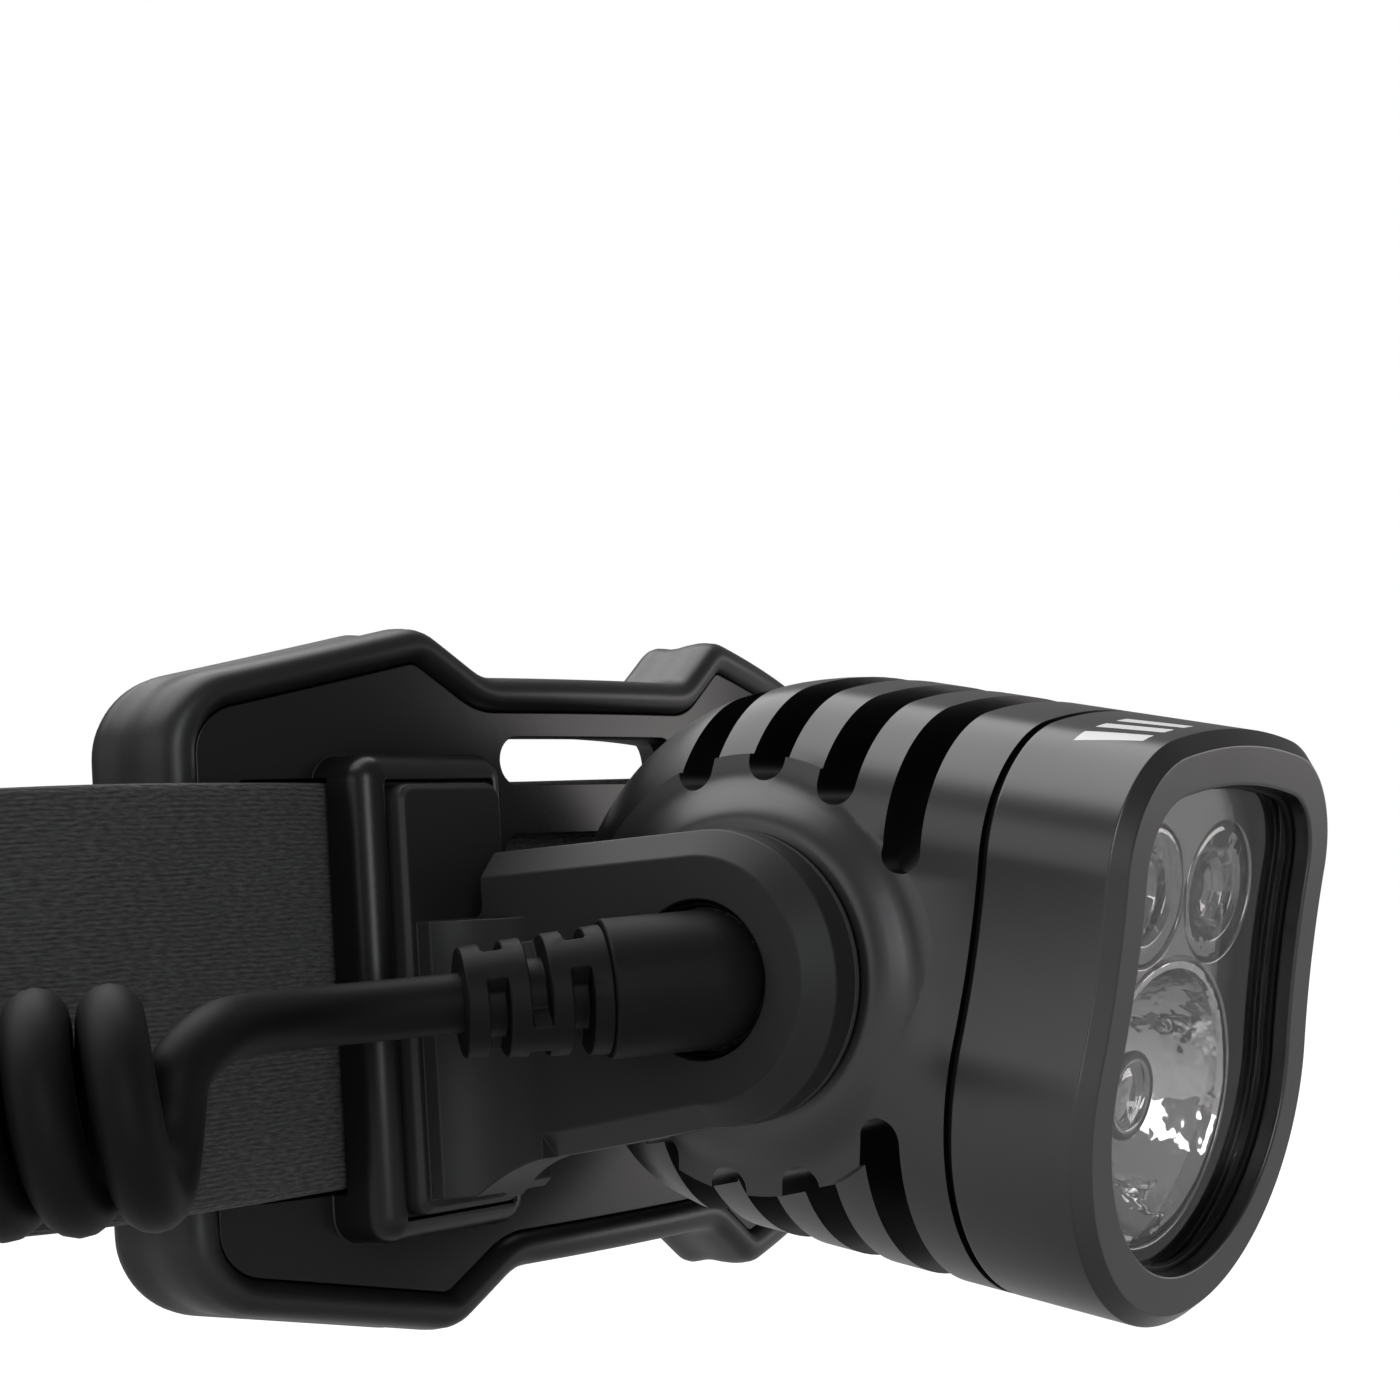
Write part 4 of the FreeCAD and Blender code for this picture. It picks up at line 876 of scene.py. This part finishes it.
class HEADLAMP_OT_stage(bpy.types.Operator):
    """Camera, plain pale floor and soft studio lamps"""
    bl_idname = "headlamp.stage"
    bl_label = "Stage"

    def execute(self, context):
        scene = bpy.context.scene
        scene.view_settings.view_transform = "Standard"
        turn, pitch, roll = (math.radians(angle) for angle in CAMERA_TURNS)
        v = np.array([-math.sin(turn) * math.cos(pitch), math.cos(turn) * math.cos(pitch), math.sin(pitch)])
        r0 = np.array([math.cos(turn), math.sin(turn), 0.0])
        u0 = np.cross(r0, v)
        r = math.cos(roll) * r0 + math.sin(roll) * u0
        u = -math.sin(roll) * r0 + math.cos(roll) * u0
        camera = bpy.data.objects.new("camera", bpy.data.cameras.new("camera"))
        camera.data.sensor_width = SENSOR
        camera.data.lens = ZOOM * SENSOR
        camera.data.clip_start, camera.data.clip_end = 0.01, 50.0
        rows = [[r[k], u[k], -v[k], CAMERA_PLACE[k]] for k in range(3)]
        camera.matrix_world = Matrix(rows + [[0, 0, 0, 1]])
        scene.collection.objects.link(camera)
        scene.camera = camera

        # seen straight on or through glass the surround is white; it lights the object as a dim grey one
        world = bpy.data.worlds.new("studio")
        scene.world = world
        world.use_nodes = True
        nodes, links = world.node_tree.nodes, world.node_tree.links
        nodes.clear()
        rays = nodes.new("ShaderNodeLightPath")
        seen = nodes.new("ShaderNodeMath")
        seen.operation = "ADD"
        seen.use_clamp = True
        links.new(rays.outputs["Is Camera Ray"], seen.inputs[0])
        links.new(rays.outputs["Is Transmission Ray"], seen.inputs[1])
        glossy = nodes.new("ShaderNodeMath")
        glossy.operation = "MULTIPLY_ADD"
        glossy.use_clamp = True
        glossy.inputs[1].default_value = GLOSSY_SHARE
        links.new(rays.outputs["Is Glossy Ray"], glossy.inputs[0])
        links.new(seen.outputs[0], glossy.inputs[2])
        strength = nodes.new("ShaderNodeMapRange")
        strength.inputs["To Min"].default_value = SURROUND
        strength.inputs["To Max"].default_value = 1.0
        links.new(glossy.outputs[0], strength.inputs["Value"])
        back = nodes.new("ShaderNodeBackground")
        back.inputs["Color"].default_value = (1, 1, 1, 1)
        links.new(strength.outputs[0], back.inputs["Strength"])
        out = nodes.new("ShaderNodeOutputWorld")
        links.new(back.outputs[0], out.inputs["Surface"])

        # round floor: the camera sees mostly an even white, and wholly so from half a metre out, so that only
        # a faint shadow shows near the object
        low, rings, spokes, reach = CAD_BOX[0][2] - FLOOR_DROP, 24, 48, 3.0
        radius, angle = np.meshgrid(np.linspace(0, reach, rings),
                                    np.linspace(0, TURN, spokes, endpoint=False), indexing="ij")
        points = np.stack([radius * np.cos(angle), radius * np.sin(angle) + 0.06,
                           np.full_like(radius, low)], -1)
        floor_mesh = tidy(grid_mesh("floor", points, around=True))
        f = Finish("pale_floor")
        path = f.node("ShaderNodeLightPath", result="Is Camera Ray")
        paper = f.node("ShaderNodeBsdfDiffuse", None, {"Color": (PAPER, PAPER, PAPER)})
        white = f.node("ShaderNodeEmission", None, {"Color": (1.0, 1.0, 1.0), "Strength": FLOOR_GLOW})
        away = f.node("ShaderNodeVectorMath", {"operation": "LENGTH"}, {0: f.place()}, result="Value")
        share = path * (away.between(0.25, 0.50) * 0.25 + 0.75)
        mixed = f.node("ShaderNodeMixShader", None, {0: share, 1: paper, 2: white})
        floor_mesh.materials.append(f.show(mixed))
        floor = bpy.data.objects.new("floor", floor_mesh)
        scene.collection.objects.link(floor)

        middle = (-0.01, -0.02, 0.0)
        soft_lamp("overhead_softbox", (0.0, 0.42, 1.0), middle, 1.7, 1.15, 2.4)
        soft_lamp("left_panel", (-1.13, 0.42, 0.0), middle, 1.1, 1.2, 0.72)
        soft_lamp("near_left_softbox", (-0.72, -0.80, 0.20), middle, 0.30, 0.80, 4.2, (0.94, 0.97, 1.0))
        soft_lamp("front_right_panel", (0.85, -0.60, -0.16), middle, 0.7, 0.7, 2.4, (1.0, 0.95, 0.94))
        return {"FINISHED"}


class HEADLAMP_PT_panel(bpy.types.Panel):
    """Lists the headlamp's operators and settings"""
    bl_idname = "HEADLAMP_PT_panel"
    bl_label = "Headlamp"
    bl_space_type = "VIEW_3D"
    bl_region_type = "UI"
    bl_category = "Headlamp"

    def draw(self, context):
        for group in (colours(), sizes()):
            for name in group.__annotations__:
                self.layout.prop(group, name)
        for operator in OPERATORS:
            self.layout.operator(operator.bl_idname)


OPERATORS = (HEADLAMP_OT_stage, HEADLAMP_OT_cable, HEADLAMP_OT_head, HEADLAMP_OT_optics, HEADLAMP_OT_inner,
             HEADLAMP_OT_bracket, HEADLAMP_OT_pad, HEADLAMP_OT_band)
CLASSES = (HeadlampColours, HeadlampSizes, *OPERATORS, HEADLAMP_PT_panel)


def register():
    for cls in CLASSES:
        bpy.utils.register_class(cls)
    bpy.types.Scene.headlamp_colours = PointerProperty(type=HeadlampColours)
    bpy.types.Scene.headlamp_sizes = PointerProperty(type=HeadlampSizes)


def unregister():
    del bpy.types.Scene.headlamp_colours
    del bpy.types.Scene.headlamp_sizes
    for cls in reversed(CLASSES):
        bpy.utils.unregister_class(cls)


def main():
    register()
    for operator in OPERATORS:
        group, name = operator.bl_idname.split(".")
        getattr(getattr(bpy.ops, group), name)()


if __name__ == "__main__":
    main()
